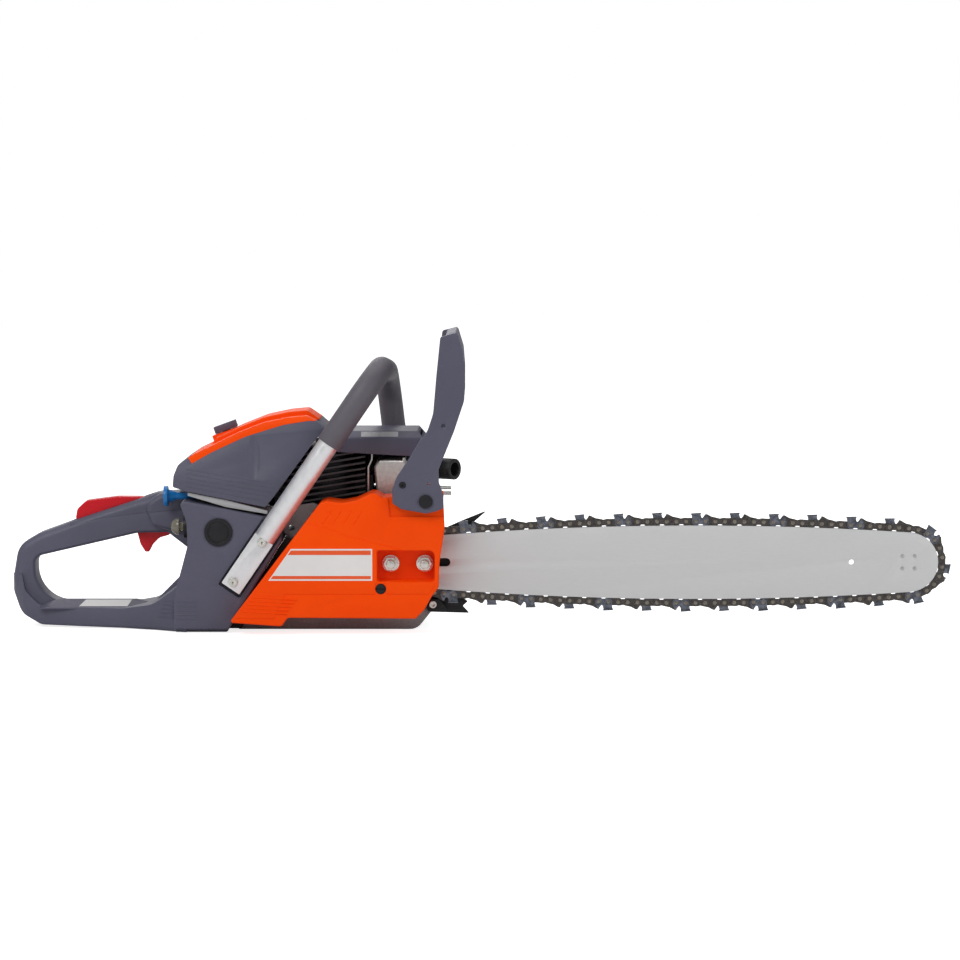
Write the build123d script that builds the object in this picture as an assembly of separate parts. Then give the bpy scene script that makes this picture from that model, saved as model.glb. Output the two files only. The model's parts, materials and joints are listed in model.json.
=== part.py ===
from build123d import *
import os
from math import asin, atan2, cos, degrees, hypot, pi, sin, sqrt

# Petrol chainsaw with rear handle, in millimetres.
# +X runs forward along the guide bar, +Z is up, -Y is the sprocket side.
# The model is drawn about a working datum and moved by TO_ORIGIN at the end, so that the origin lies
# on the floor under the middle of the whole saw.

# ---------------------------------------------------------------- driving dimensions
CHAIN_PITCH = 9.525            # rivet to rivet, a 3/8 inch chain
DRIVE_LINKS = 68
DRIVE_TEETH = 7
NOSE_TEETH = 11
GAUGE = 1.5                    # groove width of the bar
BAR_PLATE = 1.6                # thickness of each side plate of the bar
BAR_HALF_MAX = 36.3            # half the bar's height at its widest
RIVET_OVER_RAIL = 4.0
NOSE_X = 418.0                 # axis of the nose sprocket
BAR_Y = -62.0                  # middle plane of bar and chain
AXIS_Z = 68.3                  # height of crankshaft and bar
STUD_X = (-91.0, -57.5)
STUD_R = 4.0
CYLINDER_LEAN = 9.0            # degrees that the cylinder leans to the rear
BORE_R = 23.0
THROW = 17.0                   # crank radius, half the stroke
HANDLE_TUBE_R = 10.4
HANDLE_SLEEVE_R = 12.2
HANDLE_NEAR_Y = -79.0
HANDLE_FAR_Y = 97.0
COVER_Y = -98.0                # outer face of the clutch cover
CASE_Y = (-46.0, 40.0)         # crankcase flanks
HOUSING_Y = (-78.0, 62.0)      # flanks of the rear housing
GRIP_HALF = 17.0               # half width of the rear grip
GUARD_PIVOT = (-56.2, 131.8)   # x, z of the hand guard's hinge
GUARD_Y = (-107.0, 82.0)
RUN = 0.05                     # radial running clearance of pins and shafts
TO_ORIGIN = (5.0, -0.1, 0.0)

os.makedirs("parts", exist_ok=True)
nodes = {}


# ---------------------------------------------------------------- small helpers
def outline(points, y):
    """Closed face in the plane y, from corners (x, z, radius)."""
    corners = [(x, y, z) for x, z, _ in points]
    return make_face(FilletPolyline(*corners, radius=[r for _, _, r in points], close=True))


def slab(points, y0, y1):
    """An XZ outline carried from y0 to y1."""
    return extrude(outline(points, y0), amount=y1 - y0, dir=(0, 1, 0))


def plan(points, z0, z1):
    """An XY outline, corners (x, y, radius), carried from z0 to z1."""
    corners = [(x, y, z0) for x, y, _ in points]
    face = make_face(FilletPolyline(*corners, radius=[r for _, _, r in points], close=True))
    return extrude(face, amount=z1 - z0, dir=(0, 0, 1))


def front(points, x0, x1):
    """A YZ outline, corners (y, z, radius), carried from x0 to x1."""
    corners = [(x0, y, z) for y, z, _ in points]
    face = make_face(FilletPolyline(*corners, radius=[r for _, _, r in points], close=True))
    return extrude(face, amount=x1 - x0, dir=(1, 0, 0))


def block(x0, x1, y0, y1, z0, z1):
    return Pos((x0 + x1) / 2, (y0 + y1) / 2, (z0 + z1) / 2) * Box(x1 - x0, y1 - y0, z1 - z0)


def pin_y(x, z, r, y0, y1):
    """Cylinder along Y."""
    return Pos(x, (y0 + y1) / 2, z) * Rot(90, 0, 0) * Cylinder(r, y1 - y0)


def pin_x(y, z, r, x0, x1):
    """Cylinder along X."""
    return Pos((x0 + x1) / 2, y, z) * Rot(0, 90, 0) * Cylinder(r, x1 - x0)


def pin_between(a, b, r):
    """Cylinder from point a to point b."""
    a, b = Vector(*a), Vector(*b)
    return extrude(Plane(origin=a, z_dir=b - a) * Circle(r), amount=(b - a).length)


def hex_y(x, z, across, y0, y1):
    """Hexagonal prism along Y."""
    profile = Plane(origin=(x, y0, z), x_dir=(1, 0, 0), z_dir=(0, 1, 0)) * RegularPolygon(across / sqrt(3), 6)
    return extrude(profile, amount=y1 - y0)


def ring_y(x, z, r_out, r_in, y0, y1):
    return pin_y(x, z, r_out, y0, y1) - pin_y(x, z, r_in, y0 - 1, y1 + 1)


def turned(shape, x, z, angle):
    """Turns a shape about the Y line through x, z. A positive angle tips +Z towards +X."""
    return Pos(x, 0, z) * Rot(0, angle, 0) * Pos(-x, 0, -z) * shape


def screw_y(x, z, y_face, out=-1, head_r=4.2, head_h=2.6, shank_r=2.5, length=12):
    """Pan-head screw lying along Y, its head outside the face at y_face."""
    head = pin_y(x, z, head_r, *sorted((y_face, y_face + out * head_h)))
    cut = sorted((y_face + out * (head_h - 1.2), y_face + out * (head_h + 1)))
    head -= block(x - 2.4, x + 2.4, *cut, z - 0.5, z + 0.5) + block(x - 0.5, x + 0.5, *cut, z - 2.4, z + 2.4)
    return head + pin_y(x, z, shank_r, *sorted((y_face, y_face - out * length)))


# ---------------------------------------------------------------- chain track
def polygon_r(teeth):
    """Radius of the rivet circle of a sprocket: links are chords of one pitch."""
    return CHAIN_PITCH / (2 * sin(pi / (2 * teeth)))


DRIVE_R = polygon_r(DRIVE_TEETH)
NOSE_R = polygon_r(NOSE_TEETH)
TRACK_HALF_MAX = BAR_HALF_MAX + RIVET_OVER_RAIL


def belly(drive_x):
    """Centre x and radius of the long arc that touches both sprocket circles and reaches TRACK_HALF_MAX."""
    lo, hi = 600.0, 20000.0
    for _ in range(80):
        r = (lo + hi) / 2
        drop = r - TRACK_HALF_MAX
        to_nose = sqrt(max((r - NOSE_R) ** 2 - drop ** 2, 0))
        to_drive = sqrt(max((r - DRIVE_R) ** 2 - drop ** 2, 0))
        if to_nose + to_drive > NOSE_X - drive_x:
            hi = r
        else:
            lo = r
    return NOSE_X - to_nose, r


def upper_track(drive_x):
    """The upper half of the rivet path from the drive sprocket's rear: (x, height) at s, and its length."""
    centre_x, r = belly(drive_x)
    centre_h = TRACK_HALF_MAX - r
    drive_turn = pi / 2 + asin((drive_x - centre_x) / (r - DRIVE_R))
    nose_turn = pi / 2 - asin((NOSE_X - centre_x) / (r - NOSE_R))
    long_turn = pi - drive_turn - nose_turn
    lengths = (DRIVE_R * drive_turn, r * long_turn, NOSE_R * nose_turn)

    def place(s):
        if s < lengths[0]:
            a = pi - s / DRIVE_R
            return drive_x + DRIVE_R * cos(a), DRIVE_R * sin(a)
        s -= lengths[0]
        if s < lengths[1]:
            a = pi - drive_turn - s / r
            return centre_x + r * cos(a), centre_h + r * sin(a)
        a = nose_turn - (s - lengths[1]) / NOSE_R
        return NOSE_X + NOSE_R * cos(a), NOSE_R * sin(a)

    return place, sum(lengths)


def walk(drive_x):
    """Rivets of the upper run, one chord apart, from half a link above the rear of the drive sprocket."""
    place, total = upper_track(drive_x)
    s = DRIVE_R * asin(CHAIN_PITCH / 2 / DRIVE_R)
    rivets = [place(s)]
    for _ in range(DRIVE_LINKS - 1):
        lo, hi = s, s + CHAIN_PITCH * 1.05
        for _ in range(40):
            mid = (lo + hi) / 2
            if hypot(place(mid)[0] - rivets[-1][0], place(mid)[1] - rivets[-1][1]) < CHAIN_PITCH:
                lo = mid
            else:
                hi = mid
        s = (lo + hi) / 2
        rivets.append(place(s))
    return rivets


def close_chain():
    """Drive sprocket position at which the upper run's last rivet lies half a pitch above the bar's axis."""
    lo, hi = NOSE_X - 598.0, NOSE_X - 518.0
    for _ in range(50):
        mid = (lo + hi) / 2
        if walk(mid)[-1][1] > CHAIN_PITCH / 2:
            lo = mid
        else:
            hi = mid
    return (lo + hi) / 2


DRIVE_X = close_chain()
BELLY_X, BELLY_R = belly(DRIVE_X)
UPPER = walk(DRIVE_X)
RIVETS = UPPER + [(x, -h) for x, h in reversed(UPPER)]


def links():
    """Every link in travel order: its middle x and z, and its turn about Y."""
    for i, (x0, h0) in enumerate(RIVETS):
        x1, h1 = RIVETS[(i + 1) % len(RIVETS)]
        yield i, (x0 + x1) / 2, AXIS_Z + (h0 + h1) / 2, -degrees(atan2(h1 - h0, x1 - x0))


def on_track(shape, x, z, turn):
    return Pos(x, BAR_Y, z) * Rot(0, turn, 0) * shape


# ---------------------------------------------------------------- chain
HALF_LINK = CHAIN_PITCH / 2
DRIVE_T = 1.4                  # thickness of a drive link
STRAP_T = 1.3                  # thickness of a side link
STRAP_IN = DRIVE_T / 2 + 0.05  # inner face of a side link
RIVET_R = 1.9


def with_rivet_holes(shape):
    for x in (-HALF_LINK, HALF_LINK):
        shape -= pin_y(x, 0, RIVET_R + 0.03, -8, 8)
    return shape


def drive_link(bumper):
    """Drive link with its tang. Behind a cutter it carries a ramp as high as the depth gauge."""
    raised = [(8.2, 3.3, 2.4), (1.5, 4.6, 2.0), (-3.4, 7.2, 0.6), (-5.2, 6.6, 0.6), (-8.2, 2.4, 2.0)]
    top = raised if bumper else \
        [(8.2, 3.4, 3.0), (-8.2, 3.4, 3.0)]
    tang = [(-8.2, -3.6, 3.2), (-4.9, -4.4, 1.0), (-3.6, -8.8, 1.0), (-1.2, -10.3, 1.4),
            (3.2, -9.6, 1.2), (4.9, -4.4, 1.0), (8.2, -3.6, 3.2)]
    return with_rivet_holes(slab(top + tang, -DRIVE_T / 2, DRIVE_T / 2))


FOOT = [(-8.3, -3.8, 3.3), (-2.6, -3.8, 0.8), (-1.6, -2.8, 0.8), (1.6, -2.8, 0.8), (2.6, -3.8, 0.8),
        (8.3, -3.8, 3.3)]


def tie_strap(side):
    waist = [(8.3, 3.6, 3.4), (2.4, 3.4, 2.0), (0, 2.6, 3.0), (-2.4, 3.4, 2.0), (-8.3, 3.6, 3.4)]
    outline_points = FOOT + waist
    y = (STRAP_IN, STRAP_IN + STRAP_T)
    return with_rivet_holes(slab(outline_points, *(y if side > 0 else (-y[1], -y[0]))))


def cutter(side):
    """Side plate with depth gauge and gullet, and the top plate folded out over it."""
    plate = FOOT + [(8.2, 1.4, 2.0), (5.9, 7.1, 0.4), (4.5, 7.3, 0.3), (3.3, 3.6, 1.5), (0.9, 3.2, 1.5),
                    (-0.2, 7.4, 0.3), (-9.2, 6.8, 0.4), (-8.2, 2.2, 1.5)]
    y = (STRAP_IN, STRAP_IN + STRAP_T)
    body = with_rivet_holes(slab(plate, *(y if side > 0 else (-y[1], -y[0]))))
    top = [(0.4, 8.6, 0.2), (-9.6, 7.9, 0.4), (-9.6, 6.6, 0.2), (0.0, 7.2, 0.2)]
    return body + slab(top, *((0.2, 4.0) if side > 0 else (-4.0, -0.2)))


def chain():
    plain, bumper = drive_link(False), drive_link(True)
    straps = {s: tie_strap(s) for s in (-1, 1)}
    cutters = {s: cutter(s) for s in (-1, 1)}
    found = {"chain_drive_links": [], "chain_tie_straps": [], "chain_cutters": []}
    for i, x, z, turn in links():
        if i % 2:
            found["chain_drive_links"].append(on_track(bumper if i % 4 == 1 else plain, x, z, turn))
        elif i % 4:
            found["chain_tie_straps"] += [on_track(straps[s], x, z, turn) for s in (-1, 1)]
        else:
            side = 1 if i % 8 else -1
            found["chain_cutters"].append(on_track(cutters[side], x, z, turn))
            found["chain_tie_straps"].append(on_track(straps[-side], x, z, turn))
    reach = STRAP_IN + STRAP_T + 0.45
    found["chain_rivets"] = [pin_y(x, AXIS_Z + h, RIVET_R, BAR_Y - reach, BAR_Y + reach) for x, h in RIVETS]
    return found


# ---------------------------------------------------------------- guide bar
TAIL_X = DRIVE_X + 31.0
GROOVE = 8.2
NOSE_RAIL_R = NOSE_R - RIVET_OVER_RAIL - 0.3
SLOT = (-100.0, -32.7, 4.15)   # stud slot from x to x, half height
TENSION_HOLE = (-81.0, 16.0, 3.6)


def rail_face(inset, y):
    """Bar outline in the plane y, its rails drawn in by inset."""
    big, nose = BELLY_R - RIVET_OVER_RAIL - inset, NOSE_RAIL_R - inset
    height = TRACK_HALF_MAX - BELLY_R

    def on_belly(x, s):
        return x, y, AXIS_Z + s * (height + sqrt(big ** 2 - (x - BELLY_X) ** 2))

    lean = asin((NOSE_X - BELLY_X) / BELLY_R)
    join = NOSE_X + nose * sin(lean)
    tail, mid = TAIL_X + 9, (TAIL_X + join) / 2
    low = on_belly(tail, 1)[2] - AXIS_Z - 9
    edges = [ThreePointArc(on_belly(tail, 1), on_belly(mid, 1), on_belly(join, 1)),
             ThreePointArc(on_belly(join, 1), (NOSE_X + nose, y, AXIS_Z), on_belly(join, -1)),
             ThreePointArc(on_belly(join, -1), on_belly(mid, -1), on_belly(tail, -1)),
             Polyline(on_belly(tail, -1), (TAIL_X, y, AXIS_Z - low), (TAIL_X, y, AXIS_Z + low),
                       on_belly(tail, 1))]
    return make_face(Curve() + edges)


def bar_holes():
    x0, x1, half = SLOT
    cut = slab([(x0, AXIS_Z - half, half - 0.01), (x1, AXIS_Z - half, half - 0.01),
                (x1, AXIS_Z + half, half - 0.01), (x0, AXIS_Z + half, half - 0.01)], BAR_Y - 5, BAR_Y + 5)
    x, rise, r = TENSION_HOLE
    for z in (AXIS_Z - rise, AXIS_Z + rise):
        cut += pin_y(x, z, r, BAR_Y - 5, BAR_Y + 5)
    cut += pin_y(361.9, AXIS_Z, 2.6, BAR_Y - 5, BAR_Y + 5)
    return cut


NOSE_RIVETS = [(NOSE_X + 8.6 * cos(k * pi / 4), AXIS_Z + 8.6 * sin(k * pi / 4)) for k in (1, 3, 5, 7)]


def guide_bar():
    half = GAUGE / 2 + 0.05
    holes = bar_holes()
    for x, z in NOSE_RIVETS:
        holes += pin_y(x, z, 2.0, BAR_Y - 5, BAR_Y + 5)
    plates = [extrude(rail_face(0, BAR_Y + s * half), amount=BAR_PLATE, dir=(0, s, 0)) - holes
              for s in (-1, 1)]
    core = extrude(rail_face(GROOVE, BAR_Y - half), amount=2 * half, dir=(0, 1, 0)) - holes
    core -= pin_y(NOSE_X, AXIS_Z, NOSE_R - 2.5, BAR_Y - half - 1, BAR_Y + half + 1)
    core -= block(NOSE_X, NOSE_X + 60, BAR_Y - 4, BAR_Y + 4, AXIS_Z - 50, AXIS_Z + 50)
    race = ring_y(NOSE_X, AXIS_Z, 12.0, 4.0, BAR_Y - half, BAR_Y + half) - holes
    rivets = [pin_y(x, z, 2.0, BAR_Y - half - BAR_PLATE, BAR_Y + half + BAR_PLATE) for x, z in NOSE_RIVETS]
    return {"bar_side_plates": plates, "bar_core": [core], "nose_bearing": [race, *rivets]}


def toothed_disc(x, r_in, teeth, y0, y1, facing):
    """Disc whose gullets take the tangs. facing is the angle of one gullet from +X."""
    mid_r = polygon_r(teeth) * cos(pi / (2 * teeth))
    disc = ring_y(x, AXIS_Z, mid_r - 3.9, r_in, y0, y1)
    tang = [(-6.6, 0, 0), (-5.4, -9.6, 1.0), (-1.6, -11.4, 1.2), (4.8, -10.8, 1.2),
            (6.6, -4.0, 0.5), (6.6, 0, 0)]
    cut = slab(tang, y0 - 1, y1 + 1)
    for k in range(teeth):
        a = facing + 2 * pi * k / teeth
        disc -= Pos(x + mid_r * cos(a), 0, AXIS_Z + mid_r * sin(a)) * Rot(0, 90 - degrees(a), 0) * cut
    return disc


def sprockets():
    nose = toothed_disc(NOSE_X, 12.0 + RUN, NOSE_TEETH, BAR_Y - 0.7, BAR_Y + 0.7, 0.0)
    drive = toothed_disc(DRIVE_X, 8.0, DRIVE_TEETH, BAR_Y - 0.7, BAR_Y + 0.7, pi)
    for y0, y1 in ((BAR_Y - 3.7, BAR_Y - 0.7), (BAR_Y + 0.7, BAR_Y + 3.7)):
        drive += ring_y(DRIVE_X, AXIS_Z, 16.4, 8.0, y0, y1)
    return {"nose_sprocket": [nose], "drive_sprocket": [drive]}


def end_rims(body):
    """Edges of the two end faces along Y."""
    ends = body.faces().filter_by(Axis.Y).sort_by(Axis.Y)
    return ends[0].edges() + ends[-1].edges()


def rounded_slab(points, y0, y1, r):
    """XZ outline from y0 to y1 with both rims rounded."""
    body = slab(points, y0, y1)
    return fillet(end_rims(body), r)


# ---------------------------------------------------------------- rear handle and fuel tank
LOOP = [(-286, 131, 3), (-303, 134, 20), (-324, 133.5, 30), (-344, 126.5, 40), (-399, 108.5, 80),
        (-443, 92.5, 40), (-464.5, 80, 22), (-470.5, 44, 30), (-461, 14, 24), (-440, 4, 12),
        (-300, 0, 2), (-262, 0, 2)]
LOOP_HOLE = [(-447.5, 69, 9), (-345, 92.8, 20), (-315, 93.5, 4), (-292.5, 76, 5), (-300, 52, 30),
             (-329, 23, 20), (-447.5, 23, 34)]
HOUSING = [(-299, 131, 4), (-291, 109, 30), (-290, 86, 20), (-297, 60, 20), (-304, 36, 20),
           (-304, 0, 3), (-252, 0, 3), (-196, 92, 6), (-214, 114, 4)]
GRIP_COVER = [(-412, 100, 0), (-377.6, 108, 0), (-339.7, 112.8, 0), (-311.8, 115.8, 0), (-298, 117, 0),
              (-298, 150, 0), (-412, 150, 0)]
FOOT_PLAN = [(-470, -10, 8), (-456, -26, 16), (-400, -37, 60), (-357, -44, 50), (-326, -56, 40),
             (-303, -71, 30), (-290, -77.8, 4), (-280, -77.8, 0), (-280, 20, 0), (-455, 20, 14),
             (-470, 8, 8)]
FOOT_SIDE = [(-471, 52, 0), (-471, 38, 20), (-461, 14, 20), (-440, 2.5, 12), (-330, 0, 20),
             (-280, 0, 0), (-280, 70, 0), (-290, 57, 12), (-304, 42, 24), (-326, 25.5, 30),
             (-357, 20.3, 30), (-441, 20.3, 16), (-457, 36, 10), (-460, 52, 0)]
TRIGGER_PIN = (-316, 103)
LOCKOUT_PIN = (-338, 119.5)
PLUG = (-259.6, 99.2, 13.8)
FUEL_CAP = (-290, 44)
CHOKE = (-36, 131.5)           # y, z of the choke knob's line
PRIMER = (-45, 102)
LEAN_FRONT = (0.52, 0.854)     # direction of the housing's sloping front in XZ
MOUNT_LENGTH = 3.74            # air between housing and crankcase, bridged by the rubber mounts


def rounded_opening(points, half, r):
    """Cutter for an opening through a bar of the given half width, flared to round its rims."""
    cut = slab(points, -half - 1, half + 1)
    for s in (-1, 1):
        face = outline(points, s * half)
        flare = offset(face, r * 0.7)
        cut += loft([face.moved(Location((0, -s * r * 0.7, 0))), flare])
    return cut


def rear_handle():
    hump = rounded_slab([(-284, 128, 3), (-303, 133.5, 16), (-322, 133, 14), (-338, 122, 10), (-330, 100, 8),
                         (-309, 95, 4), (-284, 95, 3)], -25, 25, 6)
    grip = rounded_slab(LOOP, -GRIP_HALF, GRIP_HALF, 8) - rounded_opening(LOOP_HOLE, GRIP_HALF, 3.5)
    foot = plan(FOOT_PLAN, 0, 80)
    foot = fillet(foot.faces().sort_by(Axis.Z)[0].edges(), 4.5) & slab(FOOT_SIDE, -100, 100)
    side = rounded_slab(HOUSING, HOUSING_Y[0], HOUSING_Y[1], 2.4)
    side -= front([(-79, -1, 0), (-79, 5, 0), (-67, -1, 0)], -340, -220)
    loop = (grip + hump + foot) & block(-480, -289, -100, 100, -5, 160)
    body = side + (loop - slab([(-292, -5, 0), (-292, 160, 0), (-200, 160, 0), (-200, -5, 0)], -100, 100))
    lever_space = slab([(-352, 84, 0), (-352, 110.5, 0), (-303, 110.5, 0), (-303, 84, 0)], -6.5, 6.5)
    lockout_space = slab([(-411, 91, 0), (-411, 140, 0), (-329, 140, 0), (-329, 108.5, 0), (-352, 101, 0)],
                         -9, 9)
    body -= lever_space + lockout_space
    for (x, z), r in ((TRIGGER_PIN, 2.5), (LOCKOUT_PIN, 2.0)):
        body -= pin_y(x, z, r + 0.02, -14, 14)
    cover_zone = slab(GRIP_COVER, -40, 40)
    cover = body & cover_zone
    body -= slab([(x - 0.15 if x < -350 else x + 0.15, z - 0.15, 0) for x, z, _ in GRIP_COVER], -40, 40)
    chamber = block(-285, -222, -45, 45, 95, 140)
    tank = slab([(-299.5, 4, 3), (-299.5, 38, 10), (-288, 64, 12), (-284, 84, 5), (-212, 84, 5), (-257, 4, 3)],
                -62, 54)
    tank += slab([(-335, 4, 3), (-335, 16, 4), (-306, 33, 12), (-295, 33, 0), (-295, 4, 0)], -40, 12)
    neck = pin_y(*FUEL_CAP, 12.0, 40, 70)
    body -= chamber + tank + neck + leg_plate(-1, 110, 12.6, -90, -68.4, 2)
    body -= pin_y(*PLUG[:2], PLUG[2] + 0.02, -90, -74)
    body -= pin_x(*CHOKE, 3.45, -320, -270) + pin_x(*PRIMER, 6.52, -320, -286)
    body -= pin_x(*PRIMER, 12.1, -320, -290.2)
    for x, z in HANDLE_SCREWS:
        body -= pin_y(x, z, 2.52, -90, -58)
    return {"rear_handle_tank": [max(body.solids(), key=lambda s: s.volume)],
            "handle_grip_cover": [max(cover.solids(), key=lambda s: s.volume)]}


HANDLE_SCREWS = [(-245.1, 50.9), (-216.4, 89.9)]


def controls():
    trigger = slab([(-346, 91, 2), (-349, 98, 2), (-341, 101.5, 3), (-331, 105.5, 4), (-318, 107.5, 3),
                    (-310.5, 104, 3), (-311, 96, 3), (-314, 89.8, 4), (-324.2, 87, 9), (-331.5, 79.5, 6),
                    (-334.8, 72.8, 1.2), (-338.4, 72.8, 1.2), (-343.3, 80.5, 12)], -5.5, 5.5)
    trigger -= pin_y(*TRIGGER_PIN, 2.5 + RUN, -10, 10)
    lockout = slab([(-408, 104.5, 3), (-406, 116, 6), (-397, 124.5, 8), (-366, 128.5, 20), (-340, 128.3, 5),
                    (-332.5, 119, 4), (-337, 113.5, 4), (-352, 110, 8)], -8, 8)
    lockout = fillet(lockout.faces().filter_by(Axis.Y).edges(), 1.4)
    lockout -= pin_y(*LOCKOUT_PIN, 2.0 + RUN, -10, 10)
    pins = [pin_y(*TRIGGER_PIN, 2.5, -14, 14), pin_y(*LOCKOUT_PIN, 2.0, -14, 14)]
    y, z = CHOKE
    knob = pin_x(y, z, 10, -316.5, -312.3) + pin_x(y, z, 3.4, -313, -272)
    cone = Pos(-307.9, y, z) * Rot(0, 90, 0) * Cone(7.0, 3.4, 9)
    knob += cone
    y, z = PRIMER
    base = pin_x(y, z, 12, -296, -290.2) + pin_x(y, z, 6.5, -291, -286.2)
    base -= pin_x(y, z, 5.0, -299, -289)
    half = 8.3 * sin(pi / 4)
    dome = ThreePointArc((-309.3, y, z), (-301 - half, y, z + half), (-301, y, z + 8.3))
    rest = Polyline((-301, y, z + 8.3), (-300.4, y, z + 8.3), (-300.4, y, z + 4.6), (-294.2, y, z + 4.6),
                    (-294.2, y, z), (-309.3, y, z))
    bulb = revolve(make_face(Curve() + [dome, rest]), axis=Axis((0, y, z), (1, 0, 0)))
    return {"throttle_trigger": [trigger], "throttle_lockout": [lockout], "lever_pins": pins,
            "choke_knob": [knob],
            "primer_base": [base], "primer_bulb": [bulb]}


def cap_with_grip(x, z, y0, r, neck_r, depth):
    """Filler cap along Y: knurled flange, raised finger bar and threaded neck."""
    cap = pin_y(x, z, r, y0, y0 + 7) + pin_y(x, z, neck_r, y0 - depth, y0)
    cap += block(x - r + 3, x + r - 3, y0 + 7, y0 + 12, z - 3, z + 3)
    for k in range(12):
        a = 2 * pi * (k + 0.5) / 12
        cap -= pin_y(x + (r + 0.8) * cos(a), z + (r + 0.8) * sin(a), 1.8, y0 + 1, y0 + 8)
    return cap


OIL_CAP = (-59, 70)


def caps_and_plug():
    x, z, r = PLUG
    plug = pin_y(x, z, r, -79.5, -74) - ring_y(x, z, r - 3.2, r - 4.6, -79.5 - 1, -78.6)
    return {"side_plug": [plug], "fuel_cap": [cap_with_grip(*FUEL_CAP, 62.3, 17.0, 11.93, 8)],
            "oil_cap": [cap_with_grip(*OIL_CAP, 40.3, 14.0, 9.93, 8)]}


# ---------------------------------------------------------------- top cover, filter and carburettor
COVER_TOP = [(-304.5, 143, 2), (-303.8, 154, 8), (-299.5, 165, 10), (-286, 174, 16),
             (-267.3, 183.2, 40), (-240, 196.3, 60), (-216, 205.6, 60), (-192, 210.6, 50),
             (-174, 212.2, 6), (-164.5, 207.5, 6), (-155.5, 199.5, 1), (-166, 187.5, 3), (-206, 133, 4),
             (-214, 123.5, 1), (-289.5, 138.6, 2)]
COVER_INNER = [(-301, 120, 0), (-300.3, 153, 5), (-296, 163, 8), (-284, 171, 12), (-266, 179.6, 40),
               (-239, 192.7, 60), (-215, 202, 60), (-191.7, 207, 50), (-174, 208.6, 6), (-150, 196, 0),
               (-150, 100, 0)]
COVER_RIDGE = [(-272, 178, 0), (-265, 188.6, 6), (-240, 200.4, 60), (-216, 210, 60), (-192, 215, 50),
               (-174.5, 216.6, 5), (-162, 208, 3), (-162, 190, 0)]
STRIP_EDGE = [(-286, 166, 0), (-267.7, 176.4, 40), (-234.1, 192.0, 60), (-197, 203.5, 60),
              (-172, 207.4, 20), (-148, 207.4, 0)]
COVER_SIDES = [(-73, 110, 0), (-73, 150, 20), (-60, 219, 22), (46, 219, 22), (59, 150, 20),
               (59, 110, 0)]
COVER_SIDES_IN = [(-70, 100, 0), (-70, 150, 20), (-57, 215, 19), (43, 215, 19), (56, 150, 20),
                  (56, 100, 0)]
KNOB = (-255.4, 191.8, 20.0)   # x, z and slope of the cover knob's seat


def top_cover():
    shell = slab(COVER_TOP, -90, 80) & front(COVER_SIDES, -320, -140)
    shell -= slab(COVER_INNER, -90, 80) & front(COVER_SIDES_IN, -320, -140)
    x, z, tilt = KNOB
    stem = turned(Pos(x, 0, z) * Cylinder(4.05, 40), x, z, -tilt)
    spindle = make_face(ThreePointArc((0, 0, -50), (9.6, 0, 0), (0, 0, 50)) + Line((0, 0, 50), (0, 0, -50)))
    # shallow leaf-shaped dimple, parallel to the leaning near side
    shell -= Pos(-224.6, -76.6, 172.4) * Rot(-10.7, 0, 0) * revolve(spindle, Axis.Z, 360)
    above = [(-148, 240, 0), (-293, 240, 0), (-293, 178, 0)]
    ridge = rounded_slab(COVER_RIDGE, -38, 22, 1.6) - slab(COVER_INNER, -90, 80)
    trim = (shell + ridge) & slab(STRIP_EDGE + above, -90, 80)
    shell -= slab([(px, pz - 0.1, r) for px, pz, r in STRIP_EDGE] + above, -90, 80)
    trim = trim + (turned(Pos(x, 0, z - 0.5) * Box(30, 22, 6), x, z, -tilt)) - stem
    handle = turned(Pos(x, 0, z + 6.6) * Box(23, 14, 7) + Pos(x, 0, z - 5) * Cylinder(4.0, 20), x, z, -tilt)
    return {"top_cover": [max(shell.solids(), key=lambda s: s.volume)],
            "top_cover_trim": [max(trim.solids(), key=lambda s: s.volume)], "cover_knob": [handle]}


CARB_Z = 135.0
THROTTLE_X = -239.5
CHOKE_X = -255.5
VENTURI_R = 8.0


def intake():
    base = slab([(-290, 137.6, 0.5), (-290, 134.5, 0.5), (-253, 123.4, 10),
                 (-212, 116.4, 0.5), (-212, 119.6, 0.5),
                 (-253, 130.4, 10)], -70, 56)
    base -= block(-263.5, -200, -26, 26, 100, 150) + pin_x(*CHOKE, 3.45, -320, -270)
    body = block(-262, -232, -21, 21, CARB_Z - 16, CARB_Z + 16)
    body += block(-256, -238, -15, 15, CARB_Z - 20, CARB_Z + 20)
    body -= pin_x(0, CARB_Z, VENTURI_R, -270, -220)
    plates = {}
    for name, x in (("throttle_shaft", THROTTLE_X), ("choke_shaft", CHOKE_X)):
        body -= pin_y(x, CARB_Z, 2.0 + RUN, -40, 40)
        shaft = pin_y(x, CARB_Z, 2.0, -27, 27)
        lean = -12 if name == "throttle_shaft" else 78
        disc = pin_x(0, CARB_Z, VENTURI_R - 0.6, x - 0.6, x + 0.6)
        lever = block(x - 3, x + 3, 22.5, 24.5, CARB_Z - 11, CARB_Z + 3)
        plates[name] = [shaft + turned(disc, x, CARB_Z, lean) + lever]
    boot = pin_x(0, CARB_Z, 14, -231.7, -212) + pin_x(0, CARB_Z, 16.5, -231.7, -228)
    boot += pin_x(0, CARB_Z, 16.5, -214, -206)
    for x in (-225, -220):
        boot += pin_x(0, CARB_Z, 15.2, x, x + 2)
    boot -= pin_x(0, CARB_Z, 10, -240, -200) + along_cylinder(Pos(0, 0, 75) * Box(110.2, 60, 70))
    filter_body = slab([(-297, 139, 2), (-297, 151, 4), (-286, 162, 6), (-263, 164, 4), (-263, 136, 1),
                        (-289, 138.6, 1)], -44, 36)
    filter_body -= pin_x(0, CARB_Z + 12, 8, -270, -260)
    return {"filter_base": [base], "carburettor": [body], "intake_boot": [boot],
            "air_filter": [filter_body], **plates}


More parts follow.
